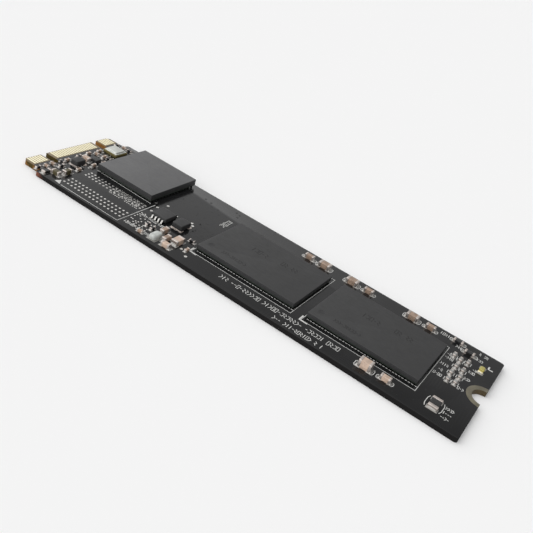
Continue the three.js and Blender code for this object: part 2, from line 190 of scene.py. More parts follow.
def add_node(tree, kind, inputs=None, **settings):
    """One node, with its settings, and its inputs linked or set."""
    node = tree.nodes.new(kind)
    for key, value in settings.items():
        setattr(node, key, value)
    for key, value in (inputs or {}).items():
        if isinstance(value, bpy.types.NodeSocket):
            tree.links.new(value, node.inputs[key])
        else:
            node.inputs[key].default_value = value
    return node


def maths(tree, operation, a, b=0.0, clamp=False):
    keys = {0: a, 1: b}
    return add_node(tree, "ShaderNodeMath", keys, operation=operation, use_clamp=clamp).outputs[0]


def mix_colour(tree, factor, a, b, blend="MIX"):
    tint = [(*v, 1.0) if isinstance(v, (tuple, list)) and len(v) == 3 else v for v in (a, b)]
    node = add_node(tree, "ShaderNodeMix", {0: factor, 6: tint[0], 7: tint[1]},
                    data_type="RGBA", blend_type=blend)
    return node.outputs[2]


def remap(tree, value, low, high, to_low=0.0, to_high=1.0):
    keys = {"Value": value, "From Min": low, "From Max": high, "To Min": to_low, "To Max": to_high}
    return add_node(tree, "ShaderNodeMapRange", keys).outputs["Result"]


def object_place(tree):
    """The point on the piece, in millimetres."""
    place = add_node(tree, "ShaderNodeTexCoord").outputs["Object"]
    keys = {0: place, "Scale": 1 / MM}
    return add_node(tree, "ShaderNodeVectorMath", keys, operation="SCALE").outputs[0]


def noise(tree, place, scale, detail=3.0, roughness=0.55, spot="Fac"):
    keys = {"Vector": place, "Scale": scale, "Detail": detail, "Roughness": roughness}
    return add_node(tree, "ShaderNodeTexNoise", keys).outputs[spot]


def split_place(tree, place):
    return add_node(tree, "ShaderNodeSeparateXYZ", {"Vector": place}).outputs


def group_of(name, sockets_in, sockets_out, fill):
    """A shader node group, made once."""
    group = bpy.data.node_groups.get(name)
    if group is None:
        group = bpy.data.node_groups.new(name, "ShaderNodeTree")
        for label, kind, default in sockets_in:
            socket = group.interface.new_socket(label, in_out="INPUT", socket_type=kind)
            if default is not None:
                socket.default_value = default
        for label, kind in sockets_out:
            group.interface.new_socket(label, in_out="OUTPUT", socket_type=kind)
        given = group.nodes.new("NodeGroupInput")
        result = group.nodes.new("NodeGroupOutput")
        for label, socket in fill(group, given.outputs).items():
            group.links.new(socket, result.inputs[label])
    return group


def grain_group():
    """Fine grain of a moulded, fired or pressed surface: a height and a light-and-dark mask."""
    def fill(tree, given):
        fine = noise(tree, given["Place"], given["Scale"], 2.0, 0.6)
        coarse_scale = maths(tree, "MULTIPLY", given["Scale"], 0.12)
        coarse = noise(tree, given["Place"], coarse_scale, 4.0, 0.5)
        specks = remap(tree, fine, 0.62, 0.74)
        height = maths(tree, "MULTIPLY", fine, given["Depth"])
        tone = maths(tree, "ADD", maths(tree, "MULTIPLY", coarse, 0.7),
                     maths(tree, "MULTIPLY", fine, 0.3))
        return {"Height": height, "Tone": tone, "Specks": specks}
    return group_of("Surface grain",
                    [("Place", "NodeSocketVector", None), ("Scale", "NodeSocketFloat", 12.0),
                     ("Depth", "NodeSocketFloat", 0.01)],
                    [("Height", "NodeSocketFloat"), ("Tone", "NodeSocketFloat"),
                     ("Specks", "NodeSocketFloat")], fill)


def smudge_group():
    """Handling marks: a slow change of roughness, in broad patches and streaks."""
    def fill(tree, given):
        broad = noise(tree, given["Place"], 0.35, 5.0, 0.6)
        streak_place = add_node(tree, "ShaderNodeMapping",
                                {"Vector": given["Place"], "Scale": (0.4, 3.0, 1.0)})
        streaks = noise(tree, streak_place.outputs[0], 1.6, 3.0, 0.6)
        both = maths(tree, "MULTIPLY", broad, streaks)
        change = maths(tree, "MULTIPLY", remap(tree, both, 0.15, 0.4), given["Strength"])
        return {"Roughness": maths(tree, "ADD", given["Roughness"], change, True)}
    return group_of("Handling marks",
                    [("Place", "NodeSocketVector", None), ("Roughness", "NodeSocketFloat", 0.4),
                     ("Strength", "NodeSocketFloat", 0.1)],
                    [("Roughness", "NodeSocketFloat")], fill)


def use_group(tree, group, place, **values):
    """A shader group at work in a material, with its place linked and its values set."""
    node = add_node(tree, "ShaderNodeGroup", {"Place": place, **values}, node_tree=group)
    return node.outputs


def new_material(name, ior=1.5, metallic=0.0, coat=0.0):
    """A material with its surface shader, and the tree to fill in."""
    material = bpy.data.materials.new(name)
    material.use_nodes = True
    tree = material.node_tree
    shader = tree.nodes["Principled BSDF"]
    shader.inputs["IOR"].default_value = ior
    shader.inputs["Metallic"].default_value = metallic
    shader.inputs["Coat Weight"].default_value = coat
    shader.inputs["Coat Roughness"].default_value = COAT_ROUGHNESS
    return material, tree, shader


def wire_surface(tree, shader, base, roughness, height=None, relief=0.01):
    """Links the colour, the roughness and the relief. The height and the relief are in millimetres."""
    tree.links.new(base, shader.inputs["Base Color"])
    tree.links.new(roughness, shader.inputs["Roughness"])
    if height is not None:
        bump = add_node(tree, "ShaderNodeBump",
                        {"Height": height, "Distance": relief * MM, "Strength": 1.0})
        tree.links.new(bump.outputs[0], shader.inputs["Normal"])


def grained(name, base, roughness, grain_scale, relief, tone=0.25, specks=0.0, **kind):
    """A surface with grain, tone change and handling marks, which most finishes here share."""
    found = bpy.data.materials.get(name)
    if found:
        return found
    material, tree, shader = new_material(name, **kind)
    place = object_place(tree)
    grain = use_group(tree, grain_group(), place, Scale=grain_scale, Depth=1.0)
    marks = use_group(tree, smudge_group(), place, Roughness=roughness, Strength=HANDLING)
    base = tuple(base)
    dark = tuple(c * (1 - tone) for c in base)
    light = tuple(min(1.0, c * (1 + tone)) for c in base)
    body = mix_colour(tree, remap(tree, grain["Tone"], 0.3, 0.7), dark, light)
    lighter = tuple(min(1.0, c * 1.6 + 0.01) for c in base)
    speckled = mix_colour(tree, maths(tree, "MULTIPLY", grain["Specks"], specks), body, lighter)
    wire_surface(tree, shader, speckled, marks["Roughness"], grain["Height"], relief)
    return material


# ---------- mesh building ----------
ARC_STEPS = 6  # steps round a quarter turn
SMALLEST_CORNER = 0.004
SMOOTH_ANGLE = 35.0  # degrees: a sharper edge than this stays sharp
MOUND_STEPS = 4
MOUND_CORNER = 0.06


def rounded_outline(centre, size, corner, z, steps=ARC_STEPS):
    """A rectangle with round corners, anticlockwise from above."""
    corner = min(max(corner, SMALLEST_CORNER), min(size) / 2.001)
    points = []
    for quarter, (side_x, side_y) in enumerate([(1, 1), (-1, 1), (-1, -1), (1, -1)]):
        middle_x = centre[0] + side_x * (size[0] / 2 - corner)
        middle_y = centre[1] + side_y * (size[1] / 2 - corner)
        for step in range(steps + 1):
            turn = math.pi / 2 * (quarter + step / steps)
            points.append((middle_x + corner * math.cos(turn), middle_y + corner * math.sin(turn), z))
    return points


def plan_of(low, high):
    """Middle and size in plan of what lies between two corners."""
    return (((low[0] + high[0]) / 2, (low[1] + high[1]) / 2),
            (high[0] - low[0], high[1] - low[1]))


def inset_outline(plan, inset, corner, z, steps=ARC_STEPS):
    """The round-cornered outline of a plan, drawn in by an inset."""
    centre, size = plan
    return rounded_outline(centre, (size[0] - 2 * inset, size[1] - 2 * inset), corner, z, steps)


def add_rings(mesh, rings, side=0, cap=None):
    """Joins rings of points into one closed skin with flat ends."""
    made = [[mesh.verts.new(point) for point in ring] for ring in rings]
    count = len(made[0])
    for lower, upper in zip(made, made[1:]):
        for i in range(count):
            j = (i + 1) % count
            mesh.faces.new((lower[i], lower[j], upper[j], upper[i])).material_index = side
    mesh.faces.new(list(reversed(made[0]))).material_index = side
    mesh.faces.new(made[-1]).material_index = side if cap is None else cap
    return made


def edge_levels(low, high, radius, steps=3, foot=0.0):
    """(inset, z) pairs of a block's side, its foot and its top edge rounded."""
    levels = [(foot, low)]
    if foot:
        levels.append((0.0, low + foot))
    for step in range(steps + 1):
        turn = math.pi / 2 * step / steps
        levels.append((radius * (1 - math.cos(turn)), high - radius * (1 - math.sin(turn))))
    return levels


def add_block(mesh, low, high, corner, edge, foot=0.0, side=0, cap=None, steps=ARC_STEPS):
    """A block with round corners in plan and a round top edge, between two corners."""
    plan = plan_of(low, high)
    rings = [inset_outline(plan, inset, corner - inset, z, steps)
             for inset, z in edge_levels(low[2], high[2], edge, foot=foot)]
    return add_rings(mesh, rings, side, cap)


def add_mound(mesh, centre, size, low, height, side=0):
    """Solder that has wetted a pad and climbed the metal end which stands in it."""
    reach = 0.42 * min(size)
    rings = []
    for step in range(MOUND_STEPS + 1):
        climb = step / MOUND_STEPS
        level = low + height * climb ** 2
        rings.append(inset_outline((centre, size), reach * climb, MOUND_CORNER, level, 3))
    return add_rings(mesh, rings, side)


def link_piece(name, data, smooth_angle):
    """Shades a finished mesh and puts it in the scene."""
    data.shade_smooth()
    data.set_sharp_from_angle(angle=math.radians(smooth_angle))
    piece = bpy.data.objects.new(name, data)
    bpy.context.scene.collection.objects.link(piece)
    return piece


def finish_mesh(name, mesh, materials, smooth_angle=SMOOTH_ANGLE):
    """Turns a mesh drawn in millimetres into a finished object in metres."""
    data = bpy.data.meshes.new(name)
    mesh.to_mesh(data)
    mesh.free()
    data.transform(Matrix.Scale(MM, 4))
    for material in materials:
        data.materials.append(material)
    return link_piece(name, data, smooth_angle)


def keep(piece, slot, *stands_for):
    """Fixes a finished piece to the card."""
    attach(piece, "root")
    if stands_for:
        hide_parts(*stands_for)
    return piece


def keep_block(name, corners, rounding, material, slot, node, foot=0.0, smooth_angle=SMOOTH_ANGLE):
    """A plain block that stands for one node. The rounding is of its corners and its top edge."""
    mesh = bmesh.new()
    add_block(mesh, *corners, *rounding, foot=foot)
    keep(finish_mesh(name, mesh, [material], smooth_angle), slot, node)


# ---------- geometry trees ----------
WELD_DISTANCE = 1e-7  # metres


def made_once(name):
    """Builds a geometry tree the first time it is asked for, and gives the same one after that."""
    def wrap(build):
        return lambda: bpy.data.node_groups.get(name) or build(name)
    return wrap


def start_tree(name, sizes):
    """An empty geometry tree with named inputs. Gives the tree, the inputs and the outputs."""
    tree = bpy.data.node_groups.new(name, "GeometryNodeTree")
    tree.is_modifier = True
    tree.interface.new_socket("Geometry", in_out="INPUT", socket_type="NodeSocketGeometry")
    for label in sizes:
        kind = "NodeSocketInt" if label == "Sides" else "NodeSocketFloat"
        tree.interface.new_socket(label, in_out="INPUT", socket_type=kind)
    tree.interface.new_socket("Material", in_out="INPUT", socket_type="NodeSocketMaterial")
    tree.interface.new_socket("Geometry", in_out="OUTPUT", socket_type="NodeSocketGeometry")
    return tree, tree.nodes.new("NodeGroupInput").outputs, tree.nodes.new("NodeGroupOutput").inputs


def end_tree(tree, given, result, shape):
    """Every tree ends the same way: instances made real, then the material."""
    real = add_node(tree, "GeometryNodeRealizeInstances", {"Geometry": shape})
    painted = add_node(tree, "GeometryNodeSetMaterial",
                       {"Geometry": real.outputs[0], "Material": given["Material"]})
    tree.links.new(painted.outputs[0], result["Geometry"])
    return tree


def place_on_points(tree, given, shape, lift):
    """Stands the shape on each point of the input, raised by a length."""
    up = add_node(tree, "ShaderNodeCombineXYZ", {"Z": lift})
    raised = add_node(tree, "GeometryNodeTransform", {"Geometry": shape, "Translation": up.outputs[0]})
    return add_node(tree, "GeometryNodeInstanceOnPoints",
                    {"Points": given["Geometry"], "Instance": raised.outputs[0]}).outputs[0]


@made_once("Round pads")
def disc_tree(name):
    """A round pad or dot on each point."""
    tree, given, result = start_tree(name, ("Width", "Height", "Sides"))
    radius = maths(tree, "MULTIPLY", given["Width"], 0.5)
    disc = add_node(tree, "GeometryNodeMeshCylinder",
                    {"Vertices": given["Sides"], "Radius": radius, "Depth": given["Height"]})
    lift = maths(tree, "MULTIPLY", given["Height"], 0.5)
    return end_tree(tree, given, result, place_on_points(tree, given, disc.outputs["Mesh"], lift))


@made_once("Contact plates")
def plate_tree(name):
    """A plate with round corners on each point, for the edge contacts."""
    tree, given, result = start_tree(name, ("Length", "Width", "Corner", "Height"))
    outline = add_node(tree, "GeometryNodeCurvePrimitiveQuadrilateral",
                       {"Width": given["Length"], "Height": given["Width"]})
    rounded = add_node(tree, "GeometryNodeFilletCurve",
                       {"Curve": outline.outputs[0], "Radius": given["Corner"], "Count": 3}, mode="POLY")
    face = add_node(tree, "GeometryNodeFillCurve", {"Curve": rounded.outputs[0]}, mode="NGONS")
    top = add_node(tree, "GeometryNodeExtrudeMesh",
                   {"Mesh": face.outputs[0], "Offset Scale": given["Height"], "Individual": False})
    under = add_node(tree, "GeometryNodeFlipFaces", {"Mesh": face.outputs[0]})
    both = add_node(tree, "GeometryNodeJoinGeometry")
    tree.links.new(top.outputs[0], both.inputs[0])
    tree.links.new(under.outputs[0], both.inputs[0])
    closed = add_node(tree, "GeometryNodeMergeByDistance",
                      {"Geometry": both.outputs[0], "Distance": WELD_DISTANCE})
    return end_tree(tree, given, result, place_on_points(tree, given, closed.outputs[0], 0.0))


@made_once("Solder balls")
def ball_tree(name):
    """A slightly flattened solder ball on each point."""
    tree, given, result = start_tree(name, ("Width", "Height"))
    radius = maths(tree, "MULTIPLY", given["Width"], 0.5)
    ball = add_node(tree, "GeometryNodeMeshUVSphere", {"Segments": 12, "Rings": 8, "Radius": radius})
    flatter = maths(tree, "DIVIDE", given["Height"], given["Width"])
    scale = add_node(tree, "ShaderNodeCombineXYZ", {"X": 1.0, "Y": 1.0, "Z": flatter})
    pressed = add_node(tree, "GeometryNodeTransform",
                       {"Geometry": ball.outputs["Mesh"], "Scale": scale.outputs[0]})
    lift = maths(tree, "MULTIPLY", given["Height"], 0.5)
    return end_tree(tree, given, result, place_on_points(tree, given, pressed.outputs[0], lift))


@made_once("Flat strips")
def ribbon_tree(name):
    """A flat strip along every path of the input, for printed lines, tracks and leads."""
    tree, given, result = start_tree(name, ("Width", "Thickness"))
    path = add_node(tree, "GeometryNodeMeshToCurve", {"Mesh": given["Geometry"]})
    level = add_node(tree, "GeometryNodeSetCurveNormal", {"Curve": path.outputs[0]}, mode="Z_UP")
    section = add_node(tree, "GeometryNodeCurvePrimitiveQuadrilateral",
                       {"Width": given["Width"], "Height": given["Thickness"]})
    strip = add_node(tree, "GeometryNodeCurveToMesh",
                     {"Curve": level.outputs[0], "Profile Curve": section.outputs[0], "Fill Caps": True})
    return end_tree(tree, given, result, strip.outputs[0])


def grow(name, tree, points, edges, sizes, material, smooth_angle=SMOOTH_ANGLE):
    """Runs a geometry tree on points and edges given in millimetres, and keeps the plain mesh."""
    seed = bpy.data.meshes.new(name + "_seed")
    seed.from_pydata([Vector(point) * MM for point in points], edges, [])
    host = bpy.data.objects.new(name + "_seed", seed)
    bpy.context.scene.collection.objects.link(host)
    modifier = host.modifiers.new("Shape", "NODES")
    modifier.node_group = tree
    values = {label: value if label == "Sides" else value * MM for label, value in sizes.items()}
    values["Material"] = material
    for item in tree.interface.items_tree:
        if item.in_out == "INPUT" and item.name in values:
            modifier[item.identifier] = values[item.name]
    bpy.context.view_layer.update()
    depsgraph = bpy.context.evaluated_depsgraph_get()
    data = bpy.data.meshes.new_from_object(host.evaluated_get(depsgraph), depsgraph=depsgraph)
    host.modifiers.remove(modifier)
    bpy.data.objects.remove(host)
    bpy.data.meshes.remove(seed)
    data.name = name
    shell = bmesh.new()
    shell.from_mesh(data)
    bmesh.ops.recalc_face_normals(shell, faces=shell.faces)
    shell.to_mesh(data)
    shell.free()
    return link_piece(name, data, smooth_angle)


def lines(paths, z):
    """Points and edges of many paths at one height. A path that ends where it starts is closed."""
    points, edges = [], []
    for path in paths:
        closed = len(path) > 2 and path[0] == path[-1]
        corners = path[:-1] if closed else path
        first = len(points)
        points += [(x, y, z) for x, y in corners]
        edges += [(first + i, first + i + 1) for i in range(len(corners) - 1)]
        if closed:
            edges.append((len(points) - 1, first))
    return points, edges


def box_path(low, high):
    return [(low[0], low[1]), (high[0], low[1]), (high[0], high[1]), (low[0], high[1]), (low[0], low[1])]


def bow(x, y, reach, bulge):
    """A bracket mark beside a part's end."""
    return [(x, y - reach), (x + bulge, y - reach * 0.5), (x + bulge, y + reach * 0.5), (x, y + reach)]


# ---------- finishes of this card ----------
TRACK_PITCH = 0.22
PLY = 0.09  # thickness of one layer of the laminate


def board_settings():
    return bpy.context.scene.card_board


def gold_finish():
    board = board_settings()
    return grained("Contact gold", board.gold, 0.26, 20.0, 0.002, tone=0.07, metallic=1.0)


def tin_finish():
    board = board_settings()
    return grained("Tinned metal", board.tin, 0.28, 9.0, 0.012, tone=0.12, metallic=1.0)


def solder_finish():
    board = board_settings()
    return grained("Dull solder", board.solder, 0.42, 7.0, 0.02, tone=0.25, metallic=1.0)


def terminal_finish():
    parts = part_settings()
    return grained("Chip terminal", parts.terminal, 0.4, 11.0, 0.01, tone=0.15, metallic=1.0)


def legend_and_glint_finish():
    # Legend ink, for print and for the painted glints at the packages' bases.
    board = board_settings()
    return grained("Legend ink and painted glints", board.legend, 0.55, 25.0, 0.002, tone=0.12)


def mask_relief_group():
    """Copper under the lacquer: patches of parallel tracks, poured copper and tented holes."""
    def fill(tree, given):
        place = given["Place"]
        split = split_place(tree, place)
        cells = add_node(tree, "ShaderNodeTexVoronoi",
                         {"Vector": place, "Scale": 0.16, "Randomness": 0.8})
        pick = add_node(tree, "ShaderNodeSeparateColor", {"Color": cells.outputs["Color"]})
        slant = maths(tree, "ADD", split["X"], split["Y"])
        across = maths(tree, "GREATER_THAN", pick.outputs[0], 0.5)
        straight = add_node(tree, "ShaderNodeMix", {0: across, 2: split["Y"], 3: split["X"]})
        angled = maths(tree, "GREATER_THAN", pick.outputs[1], 0.66)
        run = add_node(tree, "ShaderNodeMix", {0: angled, 2: straight.outputs[0], 3: slant})
        wave = maths(tree, "PINGPONG", run.outputs[0], given["Track pitch"])
        ridge = remap(tree, maths(tree, "DIVIDE", wave, given["Track pitch"]), 0.42, 0.58)
        busy = remap(tree, noise(tree, place, 0.11, 2.0), 0.5, 0.54)
        poured = remap(tree, noise(tree, place, 0.07, 1.0), 0.46, 0.48)
        tracks = maths(tree, "MULTIPLY", ridge, busy)
        holes = add_node(tree, "ShaderNodeTexVoronoi",
                         {"Vector": place, "Scale": 0.62, "Randomness": 0.85})
        rim = maths(tree, "LESS_THAN", holes.outputs["Distance"], 0.13)
        dip = maths(tree, "LESS_THAN", holes.outputs["Distance"], 0.055)
        copper = maths(tree, "MAXIMUM", maths(tree, "MULTIPLY", tracks, 0.8),
                       maths(tree, "MULTIPLY", poured, 0.35))
        rise = maths(tree, "MULTIPLY", maths(tree, "SUBTRACT", rim, dip), 0.5)
        shade = maths(tree, "MAXIMUM", copper, maths(tree, "MULTIPLY", rim, 0.9))
        return {"Height": maths(tree, "ADD", copper, rise), "Copper": shade}
    return group_of("Copper under lacquer",
                    [("Place", "NodeSocketVector", None),
                     ("Track pitch", "NodeSocketFloat", TRACK_PITCH)],
                    [("Height", "NodeSocketFloat"), ("Copper", "NodeSocketFloat")], fill)


def mask_finish():
    """Black lacquer, and bare laminate at the tongue, told apart by place."""
    found = bpy.data.materials.get("Solder mask")
    if found:
        return found
    board = board_settings()
    material, tree, shader = new_material("Solder mask", ior=1.36)
    place = object_place(tree)
    relief = use_group(tree, mask_relief_group(), place, **{"Track pitch": TRACK_PITCH})
    marks = use_group(tree, smudge_group(), place, Roughness=board.mask_gloss, Strength=0.1)
    lacquer = mix_colour(tree, relief["Copper"], tuple(board.mask), tuple(board.copper_under_mask))
    light, dark = (tuple(c * tone for c in board.bare_laminate) for tone in (1.0, 0.8))
    weave = add_node(tree, "ShaderNodeTexChecker",
                     {"Vector": place, "Scale": 3.2, "Color1": (*light, 1.0), "Color2": (*dark, 1.0)})
    bare = maths(tree, "LESS_THAN", split_place(tree, place)["X"], BOARD_LOW.x + MASK_START)
    face = mix_colour(tree, bare, lacquer, weave.outputs[0])
    wire_surface(tree, shader, face, marks["Roughness"], relief["Height"], 0.003)
    return material


def edge_finish():
    """The routed edge: dark plies, scorched and olive at the tongue, red-brown at the shoulders."""
    found = bpy.data.materials.get("Routed edge")
    if found:
        return found
    board = board_settings()
    material, tree, shader = new_material("Routed edge")
    shader.inputs["Specular IOR Level"].default_value = 0.12
    place = object_place(tree)
    split = split_place(tree, place)
    ply = remap(tree, maths(tree, "PINGPONG", split["Z"], PLY), 0.0, PLY)
    dark_edge = mix_colour(tree, ply, tuple(board.cut_edge), tuple(c * 2.0 for c in board.cut_edge))
    shoulder = BOARD_LOW.x + TONGUE_LENGTH
    patches = maths(tree, "MULTIPLY", noise(tree, place, 0.9), 1.6)
    patchy = maths(tree, "ADD", split["X"], patches)
    near_tongue = remap(tree, patchy, shoulder + 1.0, shoulder + 2.6, 1.0, 0.0)
    # Inside the slot between the b and middle banks the edge turns dark olive; elsewhere olive comes in
    # patches.
    from_slot = maths(tree, "SUBTRACT", split["Y"], key_middle("b", "middle"))
    slot_darker = maths(tree, "LESS_THAN", maths(tree, "ABSOLUTE", from_slot), KEY_WIDTH)
    olive = maths(tree, "MAXIMUM", slot_darker, remap(tree, noise(tree, place, 0.45), 0.52, 0.62))
    scorched = mix_colour(tree, maths(tree, "MULTIPLY", olive, 0.9),
                          tuple(board.scorched), tuple(board.olive_edge))
    past_tongue = maths(tree, "GREATER_THAN", split["X"], shoulder)
    brown = mix_colour(tree, past_tongue, scorched, tuple(board.red_edge))
    layered = mix_colour(tree, maths(tree, "MULTIPLY", ply, 0.5), brown, tuple(board.olive_edge))
    edge = mix_colour(tree, near_tongue, dark_edge, layered)
    rough = remap(tree, noise(tree, place, 3.0), 0.3, 0.7, 0.65, 0.85)
    wire_surface(tree, shader, edge, rough, noise(tree, place, 14.0), 0.003)
    return material


def bank_box(face, bank):
    return node_box(f"{face}_contacts_{bank}")


def key_middle(lower_bank, upper_bank):
    """Middle of the slot between two contact banks, from the pins on both faces."""
    edges = [bank_box(face, lower_bank)[1].y for face in ("top", "bottom")]
    edges += [bank_box(face, upper_bank)[0].y for face in ("top", "bottom")]
    return sum(edges) / len(edges)


def arc(centre, radius, start, end, steps):
    """Points round part of a circle. Angles in degrees."""
    turns = [math.radians(start + (end - start) * i / steps) for i in range(steps + 1)]
    return [(centre[0] + radius * math.cos(t), centre[1] + radius * math.sin(t)) for t in turns]


def board_outline():
    front, back, half = BOARD_LOW.x, BOARD_HIGH.x, BOARD_HIGH.y
    tongue = bank_box("top", "m")[1].y + TONGUE_MARGIN
    shoulder = front + TONGUE_LENGTH
    hole = LAND_HIGH.x - LAND_LOW.x - LAND_RING
    path = [(front, -tongue + TONGUE_CHAMFER), (front + TONGUE_CHAMFER, -tongue), (shoulder, -tongue)]
    path += arc((shoulder + CORNER, -half + CORNER), CORNER, 180, 270, 6)
    path += arc((back - CORNER, -half + CORNER), CORNER, 270, 360, 6)
    path += arc((back, 0), hole, 270, 90, 32)
    path += arc((back - CORNER, half - CORNER), CORNER, 0, 90, 6)
    path += arc((shoulder + CORNER, half - CORNER), CORNER, 90, 180, 6)
    path += [(shoulder, tongue), (front + TONGUE_CHAMFER, tongue), (front, tongue - TONGUE_CHAMFER)]
    for middle in (key_middle("middle", "m"), key_middle("b", "middle")):
        path.append((front, middle + KEY_WIDTH / 2))
        path += arc((front + KEY_DEPTH - KEY_WIDTH / 2, middle), KEY_WIDTH / 2, 90, -90, 16)
        path.append((front, middle - KEY_WIDTH / 2))
    return path


class CARD_OT_board(bpy.types.Operator):
    """Laminate board with its lacquer, routed edge, key slots and half hole"""
    bl_idname = "card.board"
    bl_label = "Circuit board"

    def execute(self, context):
        board = board_settings()
        mesh = bmesh.new()
        outline = board_outline()
        rings = [[(x, y, z) for x, y in outline] for z in (UNDERSIDE, FACE)]
        add_rings(mesh, rings, side=1, cap=0)
        mesh.faces.ensure_lookup_table()
        mesh.faces[-2].material_index = 0
        rim = list(mesh.faces[-1].edges) + list(mesh.faces[-2].edges)
        bmesh.ops.bevel(mesh, geom=rim, offset=board.edge_break / MM, segments=2,
                        affect="EDGES", profile=0.5)
        piece = finish_mesh("board_detail", mesh, [mask_finish(), edge_finish()])
        keep(piece, "board", "circuit_board")
        return {"FINISHED"}


class CARD_OT_contacts(bpy.types.Operator):
    """Gold edge contacts on both faces, and the tracks that leave them under the lacquer"""
    bl_idname = "card.contacts"
    bl_label = "Edge contacts"

    pitch = 0.5
    width = 0.36
    corner = 0.08
    track_width = 0.13
    track_thickness = 0.016

    def execute(self, context):
        stubs = []
        for face in ("top", "bottom"):
            for bank in BANKS:
                low, high = bank_box(face, bank)
                finger = high.x - low.x
                count = round((high.y - low.y - self.width) / self.pitch) + 1
                middle_y = (low.y + high.y) / 2
                rows = [middle_y + (i - (count - 1) / 2) * self.pitch for i in range(count)]
                points = [((low.x + high.x) / 2, y, low.z) for y in rows]
                sizes = {"Length": finger, "Width": self.width, "Corner": self.corner,
                         "Height": high.z - low.z}
                name = f"{face}_fingers_{bank}"
                piece = grow(name, plate_tree(), points, [], sizes, gold_finish())
                keep(piece, "gold_contact", f"{face}_contacts_{bank}")
                if face == "top":
                    stubs += [[(high.x - 0.05, y), (high.x + 0.9, y), (high.x + 1.5, y + 0.25)]
                              for y in rows[::2]]
        points, edges = lines(stubs, FACE)
        sizes = {"Width": self.track_width, "Thickness": self.track_thickness}
        keep(grow("contact_tracks", ribbon_tree(), points, edges, sizes, mask_finish()), "board")
        return {"FINISHED"}


class CARD_OT_screw_land(bpy.types.Operator):
    """Plated half ring for the screw, with its barrel through the board"""
    bl_idname = "card.screw_land"
    bl_label = "Screw land"

    gap = 0.01  # between the barrel and the laminate
    plating = 0.04
    steps = 40

    def execute(self, context):
        board = board_settings()
        outer = LAND_HIGH.x - LAND_LOW.x
        wall = outer - LAND_RING - self.gap
        hole = wall - self.plating
        low, high = LAND_LOW.z, LAND_HIGH.z
        soft = 0.03
        section = [(outer, high - 0.01), (outer - 0.02, high), (hole + soft, high), (hole, high - soft),
                   (hole, low + soft), (hole + soft, low), (outer - 0.02, low), (outer, low + 0.01),
                   (outer, UNDERSIDE), (wall, UNDERSIDE), (wall, FACE), (outer, FACE)]
        mesh = bmesh.new()
        rings = []
        for step in range(self.steps + 1):
            turn = math.radians(90 + 180 * step / self.steps)
            rings.append([(LAND_HIGH.x + r * math.cos(turn), r * math.sin(turn), z) for r, z in section])
        add_rings(mesh, rings)
        for face in mesh.faces:
            middle = face.calc_center_median()
            if math.hypot(middle.x - LAND_HIGH.x, middle.y) < hole + soft / 4:
                face.material_index = 1
        bmesh.ops.recalc_face_normals(mesh, faces=mesh.faces)
        dull = grained("Screw land tin", board.land, 0.42, 7.0, 0.01, tone=0.25, metallic=1.0)
        barrel = grained("Screw barrel", board.barrel, 0.5, 5.0, 0.01, tone=0.4, metallic=1.0)
        keep(finish_mesh("screw_land_detail", mesh, [dull, barrel]), "tinned_land", "screw_land")
        return {"FINISHED"}


def moulding_finish(name, base, roughness=0.5):
    return grained(name, base, roughness, 16.0, 0.006, tone=0.1, specks=0.25, ior=1.45)


def package_grid(low, high, pitch, rings, core):
    """Ball places: rings along the package's edge and a block in its middle."""
    edge = 0.6 * pitch  # package edge to the outer balls, both sides together
    count = [int((high[i] - low[i] - edge) // pitch) + 1 for i in (0, 1)]
    middle = [(low[i] + high[i]) / 2 for i in (0, 1)]
    places = []
    for i in range(count[0]):
        for j in range(count[1]):
            x, y = (i - (count[0] - 1) / 2) * pitch, (j - (count[1] - 1) / 2) * pitch
            from_edge = min(i, j, count[0] - 1 - i, count[1] - 1 - j)
            if from_edge < rings or max(abs(x), abs(y)) < core * pitch / 2:
                places.append((middle[0] + x, middle[1] + y, FACE))
    return places


def press_dimple(piece, centre, width, depth, top):
    """Presses a shallow round dimple into a moulding's top."""
    cutter_mesh = bmesh.new()
    bmesh.ops.create_uvsphere(cutter_mesh, u_segments=32, v_segments=16, radius=1.0)
    radius = width / 2
    squash = Matrix.Diagonal((radius, radius, depth, 1.0))
    cutter_mesh.transform(Matrix.Translation((centre[0], centre[1], top)) @ squash)
    cutter = finish_mesh("cutter", cutter_mesh, [])
    cut = piece.modifiers.new("Dimple", "BOOLEAN")
    cut.operation = "DIFFERENCE"
    cut.object = cutter
    cut.solver = "EXACT"
    depsgraph = bpy.context.evaluated_depsgraph_get()
    pressed = bpy.data.meshes.new_from_object(piece.evaluated_get(depsgraph), depsgraph=depsgraph)
    piece.modifiers.remove(cut)
    piece.data = pressed
    bpy.data.objects.remove(cutter)


MARK_DEPTH = 0.004  # thickness of a laser mark's burnt skin
MARK_WIDTH = 0.17
DIMPLE_PLACE = (1.4, 1.9)  # from a memory chip's lowest corner
# Pitch, rings of balls along the edge, balls across the middle block, and a ball's height
BALL_LAYOUT = {"controller": (0.8, 2, 4, 0.25), "memory_1": (1.0, 2, 4, 0.2),
               "memory_2": (1.0, 2, 4, 0.2)}

# Neutral ticks, in a unit square: they stand for print and laser marks, and spell nothing.
TICKS = (
    [(0.0, 0.0), (0.0, 1.0), (0.5, 1.0), (0.5, 0.0), (0.0, 0.0)],
    [(0.0, 1.0), (0.5, 0.62), (0.0, 0.38), (0.5, 0.0)],
    [(0.2, 0.0), (0.2, 1.0)],
    [(0.0, 0.1), (0.5, 0.1), (0.5, 0.9), (0.0, 0.9)],
    [(0.0, 0.5), (0.45, 0.5)],
    [(0.0, 0.0), (0.5, 0.5), (0.0, 1.0)],
)


def tick_row(draw, start, end, base, height, axis="x"):
    """A row of neutral ticks along x, or along y."""
    paths, at = [], start
    while at < end:
        if draw.random() < 0.95:
            shape = TICKS[draw.randrange(len(TICKS))]
            mark = [(at + x * height * 0.75, y * height) for x, y in shape]
            paths.append([(x, base + y) if axis == "x" else (base - y, x) for x, y in mark])
        at += height * 0.55
    return paths


